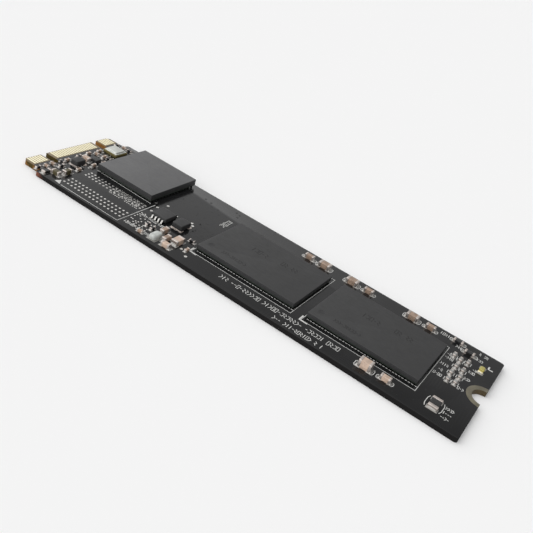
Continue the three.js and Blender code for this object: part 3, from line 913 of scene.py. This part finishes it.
def laser_rows(corner):
    """Neutral rows burnt into a memory chip's top, placed from its lowest corner."""
    draw = random.Random(5)
    rows = tick_row(draw, corner.x + 3.5, corner.x + 7.8, corner.y + 1.5, 0.75)
    rows += tick_row(draw, corner.x + 5.8, corner.x + 8.8, corner.y + 6.6, 1.1)
    rows += tick_row(draw, corner.x + 11.0, corner.x + 14.0, corner.y + 7.2, 1.1)
    return rows


class CARD_OT_packages(bpy.types.Operator):
    """Controller and memory chips: solder balls, substrate, moulding and the die inside"""
    bl_idname = "card.packages"
    bl_label = "Controller and memory"

    def execute(self, context):
        sizes = context.scene.card_packages
        side = moulding_finish("Moulding side", sizes.moulding_side, 0.62)
        # The controller's top takes a lighter colour than its sides: painted top light on one moulding.
        tops = {"controller": moulding_finish("Controller moulding, painted top light", sizes.controller_lit_top, 0.42)}
        for name in MEMORIES:
            tops[name] = moulding_finish("Memory moulding", sizes.memory_top, 0.5)
        burnt = grained("Laser mark", sizes.laser_mark, 0.6, 16.0, 0.004)
        laminate = grained("Package laminate", sizes.substrate, 0.5, 6.0, 0.004)
        silicon = grained("Silicon", sizes.silicon, 0.15, 3.0, 0.001, tone=0.05, metallic=0.6)
        for name in PACKAGES:
            low, high = node_box(f"{name}_mould_cap")
            cap = bmesh.new()
            add_block(cap, low, high, 0.12, sizes.edge_break / MM, side=0, cap=1)
            piece = finish_mesh(f"{name}_moulding", cap, [side, tops[name]])
            if name in MEMORIES:
                spot = (low.x + DIMPLE_PLACE[0], low.y + DIMPLE_PLACE[1])
                press_dimple(piece, spot, sizes.dimple_width / MM, sizes.dimple_depth / MM, high.z)
                points, edges = lines(laser_rows(low), high.z + MARK_DEPTH / 2)
                mark = {"Width": MARK_WIDTH, "Thickness": MARK_DEPTH}
                marks = grow(f"{name}_laser_marks", ribbon_tree(), points, edges, mark, burnt)
                keep(marks, "moulding")
            keep(piece, "moulding", f"{name}_mould_cap")
            pitch, rings, core, ball_height = BALL_LAYOUT[name]
            sub_low, sub_high = node_box(f"{name}_substrate")
            corners = ((sub_low.x, sub_low.y, FACE + ball_height), sub_high)
            keep_block(f"{name}_laminate", corners, (0.05, 0.01), laminate, "laminate",
                       f"{name}_substrate", foot=0.01)
            grid = package_grid(low, high, pitch, rings, core)
            balls = grow(f"{name}_balls", ball_tree(), grid, [],
                         {"Width": sizes.ball_width / MM, "Height": ball_height}, tin_finish(), 80.0)
            keep(balls, "laminate")
            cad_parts[f"{name}_die"].data.materials.clear()
            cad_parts[f"{name}_die"].data.materials.append(silicon)
        return {"FINISHED"}


# ---------- parts on the board ----------
def part_settings():
    return bpy.context.scene.card_parts


CHIP_BODY, CHIP_END, CHIP_SOLDER = 0, 1, 2  # the order of a chip's finishes
PROUD = 0.03  # how far a chip's metal ends stand out round its body


def add_chip(mesh, low, high, share, reach=0.22):
    """A ceramic chip between two metal ends, each end in a mound of solder on its pad."""
    along = 0 if high[0] - low[0] > high[1] - low[1] else 1
    across = 1 - along
    end = share * (high[along] - low[along])
    inner_low, inner_high = list(low), list(high)
    inner_low[along] += end * 0.6
    inner_high[along] -= end * 0.6
    inner_low[across] += PROUD
    inner_high[across] -= PROUD
    inner_high[2] -= PROUD
    add_block(mesh, inner_low, inner_high, 0.03, 0.05, side=CHIP_BODY, steps=2)
    for is_high in (False, True):
        end_low, end_high = list(low), list(high)
        if is_high:
            end_low[along] = high[along] - end
        else:
            end_high[along] = low[along] + end
        add_block(mesh, end_low, end_high, 0.09, 0.08, foot=0.03, side=CHIP_END, steps=4)
        pad_size = [0.0, 0.0]
        pad_size[along] = end + 2 * reach
        pad_size[across] = high[across] - low[across] + 2 * reach * 0.5
        centre = [(end_low[i] + end_high[i]) / 2 for i in (0, 1)]
        centre[along] += reach * 0.5 * (1 if is_high else -1)
        add_mound(mesh, centre, pad_size, FACE, (high[2] - low[2]) * 0.55, CHIP_SOLDER)


def ceramic_finish(name, base):
    return grained(name, base, 0.42, 10.0, 0.006, tone=0.3, specks=0.3)


def glaze_finish():
    return grained("Resistor glaze", part_settings().glaze, 0.22, 12.0, 0.002, tone=0.2)


def nodes_starting(prefix):
    return sorted(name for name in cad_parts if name.startswith(prefix))


PALE_CHIPS = ("edge_capacitor_7", "edge_capacitor_8", "power_capacitor_2", "power_capacitor_4",
              "connector_capacitor_1")
OLIVE_CHIPS = ("connector_capacitor_3", "connector_capacitor_4")


def capacitor_body(name):
    """The ceramic of a capacitor, by its name."""
    parts = part_settings()
    if name in PALE_CHIPS:
        return ceramic_finish("Pale ceramic", parts.ceramic_pale)
    if name in OLIVE_CHIPS:
        return ceramic_finish("Olive ceramic", parts.ceramic_olive)
    if name.startswith("end_"):
        return ceramic_finish("Grey ceramic", parts.ceramic_grey)
    return ceramic_finish("Brown ceramic", parts.ceramic)


class CARD_OT_capacitors(bpy.types.Operator):
    """Ceramic capacitors with their metal ends and solder"""
    bl_idname = "card.capacitors"
    bl_label = "Capacitors"

    def execute(self, context):
        share = part_settings().terminal_share
        for group in ("edge_capacitor", "power_capacitor", "connector_capacitor", "end_capacitor"):
            for name in nodes_starting(group):
                mesh = bmesh.new()
                add_chip(mesh, *node_box(name), share)
                finishes = [capacitor_body(name), terminal_finish(), solder_finish()]
                keep(finish_mesh(f"{name}_detail", mesh, finishes), "capacitor_ceramic", name)
        return {"FINISHED"}


class CARD_OT_resistors(bpy.types.Operator):
    """Black glazed chip resistors with their metal ends and solder"""
    bl_idname = "card.resistors"
    bl_label = "Resistors"

    def execute(self, context):
        finishes = [glaze_finish(), terminal_finish(), solder_finish()]
        for name in nodes_starting("end_resistor") + nodes_starting("connector_resistor"):
            mesh = bmesh.new()
            add_chip(mesh, *node_box(name), part_settings().terminal_share)
            keep(finish_mesh(f"{name}_detail", mesh, finishes), "resistor_ceramic", name)
        return {"FINISHED"}


# Small chips, too many for the frame: x from the plug-in edge, y, and the axis between the two ends
SMALL_CAPACITORS = (
    (3.35, 1.5, "y"), (4.15, 2.75, "x"), (5.5, 3.1, "y"), (3.6, -3.75, "y"), (3.6, -6.85, "x"),
    (7.2, 1.3, "y"), (3.7, -8.35, "x"), (3.5, 3.95, "y"), (4.6, 9.3, "x"), (7.0, -4.4, "y"),
    (25.6, -9.9, "x"), (33.0, -7.6, "y"),
)
SMALL_RESISTORS = (
    (3.75, -4.95, "x"), (4.75, -6.2, "y"), (6.5, 3.3, "x"), (3.2, 8.7, "y"), (5.9, 9.3, "x"),
    (26.1, -7.6, "y"), (3.5, -10.0, "y"), (3.4, -0.9, "y"), (24.9, -7.3, "y"), (31.9, -4.9, "x"),
)
SMALL_CHIP = (1.0, 0.5, 0.42)  # length, width, height


def small_chip_box(x, y, axis):
    """Corners of a small chip on the board."""
    along, across, height = SMALL_CHIP
    size_x, size_y = (along, across) if axis == "x" else (across, along)
    low = (BOARD_LOW.x + x - size_x / 2, y - size_y / 2, FACE)
    return low, (BOARD_LOW.x + x + size_x / 2, y + size_y / 2, FACE + height)


class CARD_OT_small_chips(bpy.types.Operator):
    """The smallest capacitors and resistors, near the contacts and the power parts"""
    bl_idname = "card.small_chips"
    bl_label = "Small chips"

    def execute(self, context):
        parts = part_settings()
        ends = [terminal_finish(), solder_finish()]
        for kind, places, body, slot in (
                ("capacitor", SMALL_CAPACITORS, capacitor_body("small"), "capacitor_ceramic"),
                ("resistor", SMALL_RESISTORS, glaze_finish(), "resistor_ceramic")):
            for number, place in enumerate(places, 1):
                mesh = bmesh.new()
                add_chip(mesh, *small_chip_box(*place), parts.terminal_share, reach=0.16)
                keep(finish_mesh(f"small_{kind}_{number}", mesh, [body] + ends), slot)
        return {"FINISHED"}


class CARD_OT_bead(bpy.types.Operator):
    """Pale ferrite bead in the supply line"""
    bl_idname = "card.bead"
    bl_label = "Filter bead"

    def execute(self, context):
        parts = part_settings()
        alumina = ceramic_finish("Alumina", parts.alumina)
        for name in nodes_starting("filter_bead"):
            low, high = node_box(name)
            mesh = bmesh.new()
            add_block(mesh, low, high, 0.42, 0.28, foot=0.05)
            middle, size = plan_of(low, high)
            add_mound(mesh, middle, (size[0] + 0.5, size[1] + 0.5), FACE, 0.3, 1)
            piece = finish_mesh(f"{name}_detail", mesh, [alumina, solder_finish()], 50.0)
            keep(piece, "pale_ceramic", name)
        return {"FINISHED"}


class CARD_OT_inductors(bpy.types.Operator):
    """Pressed-powder inductors on two tinned feet"""
    bl_idname = "card.inductors"
    bl_label = "Inductors"

    def execute(self, context):
        ferrite = part_settings().ferrite
        core = grained("Pressed ferrite", ferrite, 0.5, 9.0, 0.014, tone=0.3, specks=0.5)
        for name in ("inductor_1", "inductor_2"):
            keep_block(f"{name}_core_detail", node_box(f"{name}_core"), (0.28, 0.14), core,
                       "ferrite", f"{name}_core", foot=0.04)
            for side, sign in (("near", -1), ("far", 1)):
                low, high = node_box(f"{name}_terminal_{side}")
                mesh = bmesh.new()
                add_block(mesh, low, high, 0.05, 0.02)
                middle, size = plan_of(low, high)
                add_mound(mesh, (middle[0], middle[1] + sign * 0.18),
                          (size[0] + 0.24, size[1] + 0.2), FACE, 0.09)
                piece = finish_mesh(f"{name}_{side}_foot", mesh, [terminal_finish()])
                keep(piece, "tinned_metal", f"{name}_terminal_{side}")
        return {"FINISHED"}


class CARD_OT_regulator(bpy.types.Operator):
    """Voltage regulator: moulded body with a parting line, and bent leads on two sides"""
    bl_idname = "card.regulator"
    bl_label = "Regulator"

    leads = 4
    pitch = 0.65

    def execute(self, context):
        parts = part_settings()
        body_low, body_high = node_box("regulator_body")
        frame_low, frame_high = node_box("regulator_lead_frame")
        body = moulding_finish("Small moulding", context.scene.card_packages.memory_top, 0.45)
        mesh = bmesh.new()
        plan = plan_of(body_low, body_high)
        parting = body_low.z + 0.3
        draft = [(0.07, body_low.z), (0.0, parting), (0.0, parting + 0.03)]
        draft += [(0.06 + inset, z) for inset, z in edge_levels(parting + 0.1, body_high.z, 0.06)[1:]]
        add_rings(mesh, [inset_outline(plan, inset, 0.12, z) for inset, z in draft])
        keep(finish_mesh("regulator_moulding", mesh, [body]), "moulding", "regulator_body")

        thick = parts.lead_thickness / MM
        points, edges = [], []
        top_z = parting + thick / 2
        foot_z = FACE + thick / 2
        for sign in (-1, 1):
            side = body_low.y if sign < 0 else body_high.y
            toe = frame_low.y if sign < 0 else frame_high.y
            for i in range(self.leads):
                x = plan[0][0] + (i - (self.leads - 1) / 2) * self.pitch
                bends = ((-0.15, top_z), (0.16, top_z), (0.24, top_z - 0.05),
                         (0.32, foot_z + 0.06), (0.4, foot_z))
                run = [(x, side + sign * out, z) for out, z in bends] + [(x, toe, foot_z)]
                edges += [(len(points) + j, len(points) + j + 1) for j in range(len(run) - 1)]
                points += run
        sizes = {"Width": parts.lead_width / MM, "Thickness": thick}
        leads = grow("regulator_leads", ribbon_tree(), points, edges, sizes, tin_finish())
        keep(leads, "tinned_metal", "regulator_lead_frame")
        return {"FINISHED"}


class CARD_OT_supervisor(bpy.types.Operator):
    """Small leadless supervisor chip"""
    bl_idname = "card.supervisor"
    bl_label = "Supervisor"

    def execute(self, context):
        body = moulding_finish("Small moulding", context.scene.card_packages.memory_top, 0.45)
        keep_block("supervisor_moulding", node_box("supervisor_chip"), (0.08, 0.04), body,
                   "moulding", "supervisor_chip", foot=0.02)
        return {"FINISHED"}


class CARD_OT_oscillator(bpy.types.Operator):
    """Clock oscillator: ceramic base and a seam-welded bright lid"""
    bl_idname = "card.oscillator"
    bl_label = "Oscillator"

    def execute(self, context):
        parts = part_settings()
        base = grained("Oscillator base", parts.lid_base, 0.4, 9.0, 0.006, tone=0.3, metallic=0.4)
        lid = grained("Oscillator lid", parts.lid, 0.5, 5.0, 0.006, tone=0.06, metallic=1.0)
        keep_block("oscillator_base_detail", node_box("oscillator_base"), (0.25, 0.04), base,
                   "pale_ceramic", "oscillator_base", foot=0.03)
        low, high = node_box("oscillator_lid")
        plan = plan_of(low, high)
        flange = low.z + 0.12
        levels = [(0.0, low.z), (0.0, flange - 0.03), (0.03, flange), (0.16, flange),
                  (0.2, flange + 0.04)]
        levels += [(0.24 + inset, z) for inset, z in edge_levels(flange + 0.06, high.z, 0.09)]
        mesh = bmesh.new()
        add_rings(mesh, [inset_outline(plan, inset, 0.25, z) for inset, z in levels])
        keep(finish_mesh("oscillator_lid_detail", mesh, [lid]), "steel_lid", "oscillator_lid")
        return {"FINISHED"}


class CARD_OT_lamp(bpy.types.Operator):
    """Status lamp: brown substrate, metal ends and a domed yellow lens"""
    bl_idname = "card.lamp"
    bl_label = "Status lamp"

    def execute(self, context):
        parts = part_settings()
        brown = grained("Lamp substrate", parts.lamp_base, 0.5, 9.0, 0.006)
        mesh = bmesh.new()
        add_chip(mesh, *node_box("lamp_base"), parts.terminal_share)
        finishes = [brown, gold_finish(), solder_finish()]
        keep(finish_mesh("lamp_base_detail", mesh, finishes), "lamp_base", "lamp_base")
        resin = grained("Lamp resin", parts.lens, 0.12, 3.0, 0.002, tone=0.2, coat=0.6)
        keep_block("lamp_lens_detail", node_box("lamp_lens"), (0.2, 0.16), resin,
                   "lamp_lens", "lamp_lens", smooth_angle=60.0)
        return {"FINISHED"}


# ---------- bare pads, tented holes, printed legend and painted glints ---
def row(start, end, pitch, y):
    count = int((end - start) / pitch + 1e-6) + 1
    return [(start + i * pitch, y) for i in range(count)]


def scatter(draw, low, high, pitch, chance, jitter=0.0):
    """A loose grid of places inside a rectangle, some left out."""
    places = []
    for i in range(int((high[0] - low[0]) / pitch) + 1):
        for j in range(int((high[1] - low[1]) / pitch) + 1):
            if draw.random() < chance:
                x = low[0] + i * pitch + draw.uniform(-jitter, jitter)
                y = low[1] + j * pitch + draw.uniform(-jitter, jitter)
                places.append((x, y))
    return places


PAD_SIDES = 14
FOOTPRINT_ROWS = (-3.05, -3.75, -4.45, -7.4, -8.3, -9.2)
TEST_PADS = [(-17.4, 0.45), (-19.1, -0.65), (-18.0, -1.55), (-15.3, -1.15), (-17.8, -3.3),
             (-7.8, -7.9), (-6.9, -8.0), (-6.1, -9.0), (-11.7, -0.3), (-11.1, -0.9)]
TENTED_HOLES = [(-17.55, 4.9), (-14.8, 5.05), (-13.4, 3.35), (-11.7, 3.2), (-10.7, 0.8),
                (-10.2, 2.0)]
UNDERSIDE_HOLE_HEIGHT = 0.012
UNDERSIDE_PAD_HEIGHT = 0.016


def grow_dots(name, places, z, width, height, finish, sides=PAD_SIDES):
    """Round pads or dots that stand on one level."""
    points = [(x, y, z) for x, y in places]
    sizes = {"Width": width, "Height": height, "Sides": sides}
    return grow(name, disc_tree(), points, [], sizes, finish)


class CARD_OT_pads(bpy.types.Operator):
    """Bare pads of the empty memory footprint, test pads, and tented through holes"""
    bl_idname = "card.pads"
    bl_label = "Pads and holes"

    def execute(self, context):
        board = board_settings()
        height = board.pad_height / MM
        draw = random.Random(8)
        footprint = [place for y in FOOTPRINT_ROWS for place in row(-31.3, -18.7, 0.8, y)]
        buffer_dots = scatter(draw, (-25.4, -5.0), (-19.3, -2.9), 0.42, 0.85, 0.05)
        crowd = scatter(draw, (-18.1, -9.6), (-14.2, -5.1), 0.55, 0.62, 0.12)
        left = scatter(draw, (-35.8, -9.8), (-32.8, 5.0), 0.75, 0.42, 0.15)
        for name, places, width in (("memory_footprint_pads", footprint, 0.36),
                                    ("buffer_pads", buffer_dots, 0.24),
                                    ("power_stage_pads", crowd, 0.26),
                                    ("connector_pads", left, 0.28),
                                    ("test_pads", TEST_PADS, 0.5)):
            keep(grow_dots(name, places, FACE, width, height, tin_finish()), "tinned_land")
        tented = TENTED_HOLES + scatter(draw, (-18.9, -2.0), (-7.6, 9.6), 1.15, 0.3, 0.35)
        tented += [(-10.0, y) for y in (-1.5, -2.1, -2.7, -3.3, -3.9, -4.5)]
        tented += scatter(draw, (-12.0, -4.6), (-7.4, 0.2), 0.6, 0.45, 0.1)
        keep(grow_dots("tented_holes", tented, FACE, 0.4, height * 0.8, mask_finish()), "board")
        under = scatter(draw, (-34.0, -9.4), (33.0, 9.4), 2.1, 0.34, 0.6)
        keep(grow_dots("underside_holes", under, UNDERSIDE - UNDERSIDE_HOLE_HEIGHT, 0.45,
                       UNDERSIDE_HOLE_HEIGHT, mask_finish()), "board")
        tests = [(x, y) for x in (-20.0, -17.5, -15.0, 22.0, 24.5, 27.0) for y in (-8.2, 7.9)]
        keep(grow_dots("underside_test_pads", tests, UNDERSIDE - UNDERSIDE_PAD_HEIGHT, 1.0,
                       UNDERSIDE_PAD_HEIGHT, gold_finish(), 24), "gold_contact")
        return {"FINISHED"}


# Rows of print in the order they are drawn: start, end, base line, height, and "y" for a row along y
PRINT_ROWS = [(0.1, 20.5, -8.9, 0.95), (10.7, 19.0, -10.5, 0.85), (3.5, 6.5, -8.0, 0.95, "y"),
              (29.7, 31.2, 9.5, 0.75), (36.2, 37.7, 9.6, 0.7)]
for base in (8.3, 5.2, 4.2, 2.1, -0.9):
    PRINT_ROWS += [(32.4, 33.6, base, 0.62), (36.3, 37.0, base - 0.4, 0.62)]
PRINT_ROWS += [(36.6, 37.8, base, 0.6) for base in (-7.0, -8.1, -9.2)]
PRINT_ROWS += [(32.7, 33.3, 0.4, 0.7)]
PRINT_ROWS += [(-18.0, -13.0, base, 0.55) for base in (-9.7, -5.8)]
PRINT_ROWS += [(-36.8, -33.4, base, 0.6) for base in (-3.2, -0.4, 3.0, 5.0)]
FOOTPRINT_LINE = [(-30.75, -10.5), (-18.6, -10.5), (-18.66, -1.35)]
SCREW_END_CORNER = [(38.4, 8.1), (38.4, 7.4), (39.1, 7.4)]
PIN_ONE_ARROW = [(-32.3, -10.35), (-31.05, -10.5), (-31.85, -9.3)]


class CARD_OT_legend(bpy.types.Operator):
    """White printed outlines, brackets, corner marks and neutral ticks, and painted glints at the
    packages' bases
    """
    bl_idname = "card.legend"
    bl_label = "Printed legend"

    def execute(self, context):
        board = board_settings()
        draw = random.Random(21)
        line, ink = board.legend_line / MM, board.legend_height / MM
        fine, bold, ticks = [], [], []
        for name in MEMORIES:
            low, high = node_box(f"{name}_mould_cap")
            fine.append(box_path((low.x - 0.2, low.y - 1.06), (high.x + 0.28, high.y + 1.15)))
            # Dashes in legend ink just outside each memory chip's near base: painted glints of light
            # through the gap under the chip, not print.
            ticks += [[(x, y), (x + 0.34, y)] for x, y in row(low.x + 0.3, high.x, 0.5, low.y - 0.13)]
            corner_x, corner_y = low.x - 0.4, low.y - 1.2
            bold.append([(corner_x, corner_y + 1.3), (corner_x, corner_y), (corner_x + 1.4, corner_y)])
        low, high = node_box("controller_mould_cap")
        # The slanted line along the controller's near base, in legend ink, is a painted glint of light
        # through the gap under the package. The footprint line is print.
        fine += [[(low.x, low.y + 0.13), (high.x + 0.2, low.y - 0.17)], FOOTPRINT_LINE]
        for name in nodes_starting("edge_capacitor") + nodes_starting("end_resistor"):
            low, high = node_box(name)
            middle, reach = (low.y + high.y) / 2, (high.y - low.y) / 2 + 0.05
            ticks += [bow(low.x - 0.32, middle, reach, -0.18), bow(high.x + 0.32, middle, reach, 0.18)]
        for name in nodes_starting("end_capacitor"):
            low, high = node_box(name)
            ticks += [[(x, low.y + 0.1), (x, high.y - 0.1)] for x in (low.x - 0.25, high.x + 0.25)]
        for place in PRINT_ROWS:
            ticks += tick_row(draw, *place)
        bold.append(SCREW_END_CORNER)
        for name, paths, width in (("legend_lines_and_painted_glint", fine, line),
                                   ("legend_corner_marks", bold, line * 2.4),
                                   ("legend_ticks_and_painted_glints", ticks, line * 0.95)):
            points, edges = lines(paths, FACE + ink / 2)
            sizes = {"Width": width, "Thickness": ink}
            keep(grow(name, ribbon_tree(), points, edges, sizes, legend_and_glint_finish()), "board")
        mesh = bmesh.new()
        add_rings(mesh, [[(x, y, z) for x, y in PIN_ONE_ARROW] for z in (FACE, FACE + ink)])
        keep(finish_mesh("legend_pin_one", mesh, [legend_and_glint_finish()]), "board")
        return {"FINISHED"}


# ---------- stage ----------
SKY_BRIGHT_SIDE = (-0.8, -0.6, 0.0)  # from the card towards the brightest part of the studio
KEY_HEADING = (0.3, 0.6, -0.55)  # the way the key light travels
KEY_SPREAD = math.radians(60.0)
SENSOR_WIDTH = 36.0
NEAREST_SEEN = 0.001  # metres


def studio_world(stage):
    """Soft light from all round, brighter at the near left than at the far right."""
    world = bpy.data.worlds.new("Studio")
    world.use_nodes = True
    tree = world.node_tree
    towards = add_node(tree, "ShaderNodeTexCoord").outputs["Generated"]
    side = add_node(tree, "ShaderNodeVectorMath", {0: towards, 1: SKY_BRIGHT_SIDE},
                    operation="DOT_PRODUCT")
    slope = maths(tree, "MULTIPLY", side.outputs["Value"], stage.sky_slope)
    background = tree.nodes["Background"]
    background.inputs["Color"].default_value = (1.0, 1.0, 1.0, 1.0)
    tree.links.new(maths(tree, "ADD", slope, stage.sky), background.inputs["Strength"])
    return world


class CARD_OT_stage(bpy.types.Operator):
    """Pale floor, even studio light, soft key light and the camera"""
    bl_idname = "card.stage"
    bl_label = "Stage"

    def execute(self, context):
        stage = context.scene.card_stage
        half = stage.floor_size / 2
        mesh = bmesh.new()
        mesh.faces.new([mesh.verts.new((x / MM, y / MM, 0.0))
                        for x, y in ((-half, -half), (half, -half), (half, half), (-half, half))])
        material, _, shader = new_material("Pale floor")
        shader.inputs["Base Color"].default_value = (*stage.floor, 1.0)
        shader.inputs["Roughness"].default_value = 0.9
        shader.inputs["Specular IOR Level"].default_value = 0.0
        floor = finish_mesh("floor", mesh, [material])

        context.scene.world = studio_world(stage)
        context.scene.view_settings.view_transform = "Standard"

        light = bpy.data.lights.new("Key light", "SUN")
        light.angle = KEY_SPREAD
        light.energy = stage.key_strength
        key = bpy.data.objects.new("Key light", light)
        key.rotation_euler = Vector(KEY_HEADING).to_track_quat("-Z", "Y").to_euler()
        context.scene.collection.objects.link(key)

        data = bpy.data.cameras.new("Camera")
        data.lens = stage.lens
        data.sensor_width = SENSOR_WIDTH
        data.clip_start = NEAREST_SEEN
        camera = bpy.data.objects.new("Camera", data)
        back = Vector((math.sin(stage.azimuth) * math.cos(stage.elevation),
                       -math.cos(stage.azimuth) * math.cos(stage.elevation),
                       math.sin(stage.elevation)))
        level = Vector((math.cos(stage.azimuth), math.sin(stage.azimuth), 0.0))
        above = back.cross(level)
        right = level * math.cos(stage.roll) + above * math.sin(stage.roll)
        up = back.cross(right)
        place = Vector(stage.target) + back * stage.distance
        camera.matrix_world = Matrix.Translation(place) @ Matrix((right, up, back)).transposed().to_4x4()
        context.scene.collection.objects.link(camera)
        context.scene.camera = camera
        return {"FINISHED"}


BUILD_STEPS = ("board", "contacts", "screw_land", "packages", "capacitors", "resistors", "small_chips",
               "bead", "inductors", "regulator", "supervisor", "oscillator", "lamp", "pads", "legend",
               "stage")


class CARD_PT_panel(bpy.types.Panel):
    """Lists the build steps of the storage card"""
    bl_idname = "CARD_PT_panel"
    bl_label = "Storage Card"
    bl_space_type = "VIEW_3D"
    bl_region_type = "UI"
    bl_category = "Storage Card"

    def draw(self, context):
        for name, group in SETTINGS.items():
            box = self.layout.box()
            for key in group.__annotations__:
                box.prop(getattr(context.scene, name), key)
        for step in BUILD_STEPS:
            self.layout.operator(f"card.{step}")


CLASSES = (BoardSettings, PackageSettings, PartSettings, StageSettings, CARD_OT_board,
           CARD_OT_contacts, CARD_OT_screw_land, CARD_OT_packages, CARD_OT_capacitors,
           CARD_OT_resistors, CARD_OT_small_chips, CARD_OT_bead, CARD_OT_inductors,
           CARD_OT_regulator, CARD_OT_supervisor, CARD_OT_oscillator, CARD_OT_lamp, CARD_OT_pads,
           CARD_OT_legend, CARD_OT_stage, CARD_PT_panel)


def register():
    for each in CLASSES:
        bpy.utils.register_class(each)
    for name, group in SETTINGS.items():
        setattr(bpy.types.Scene, name, bpy.props.PointerProperty(type=group))


def unregister():
    for name in SETTINGS:
        delattr(bpy.types.Scene, name)
    for each in reversed(CLASSES):
        bpy.utils.unregister_class(each)


def main():
    register()
    for step in BUILD_STEPS:
        getattr(bpy.ops.card, step)()


if __name__ == "__main__":
    main()
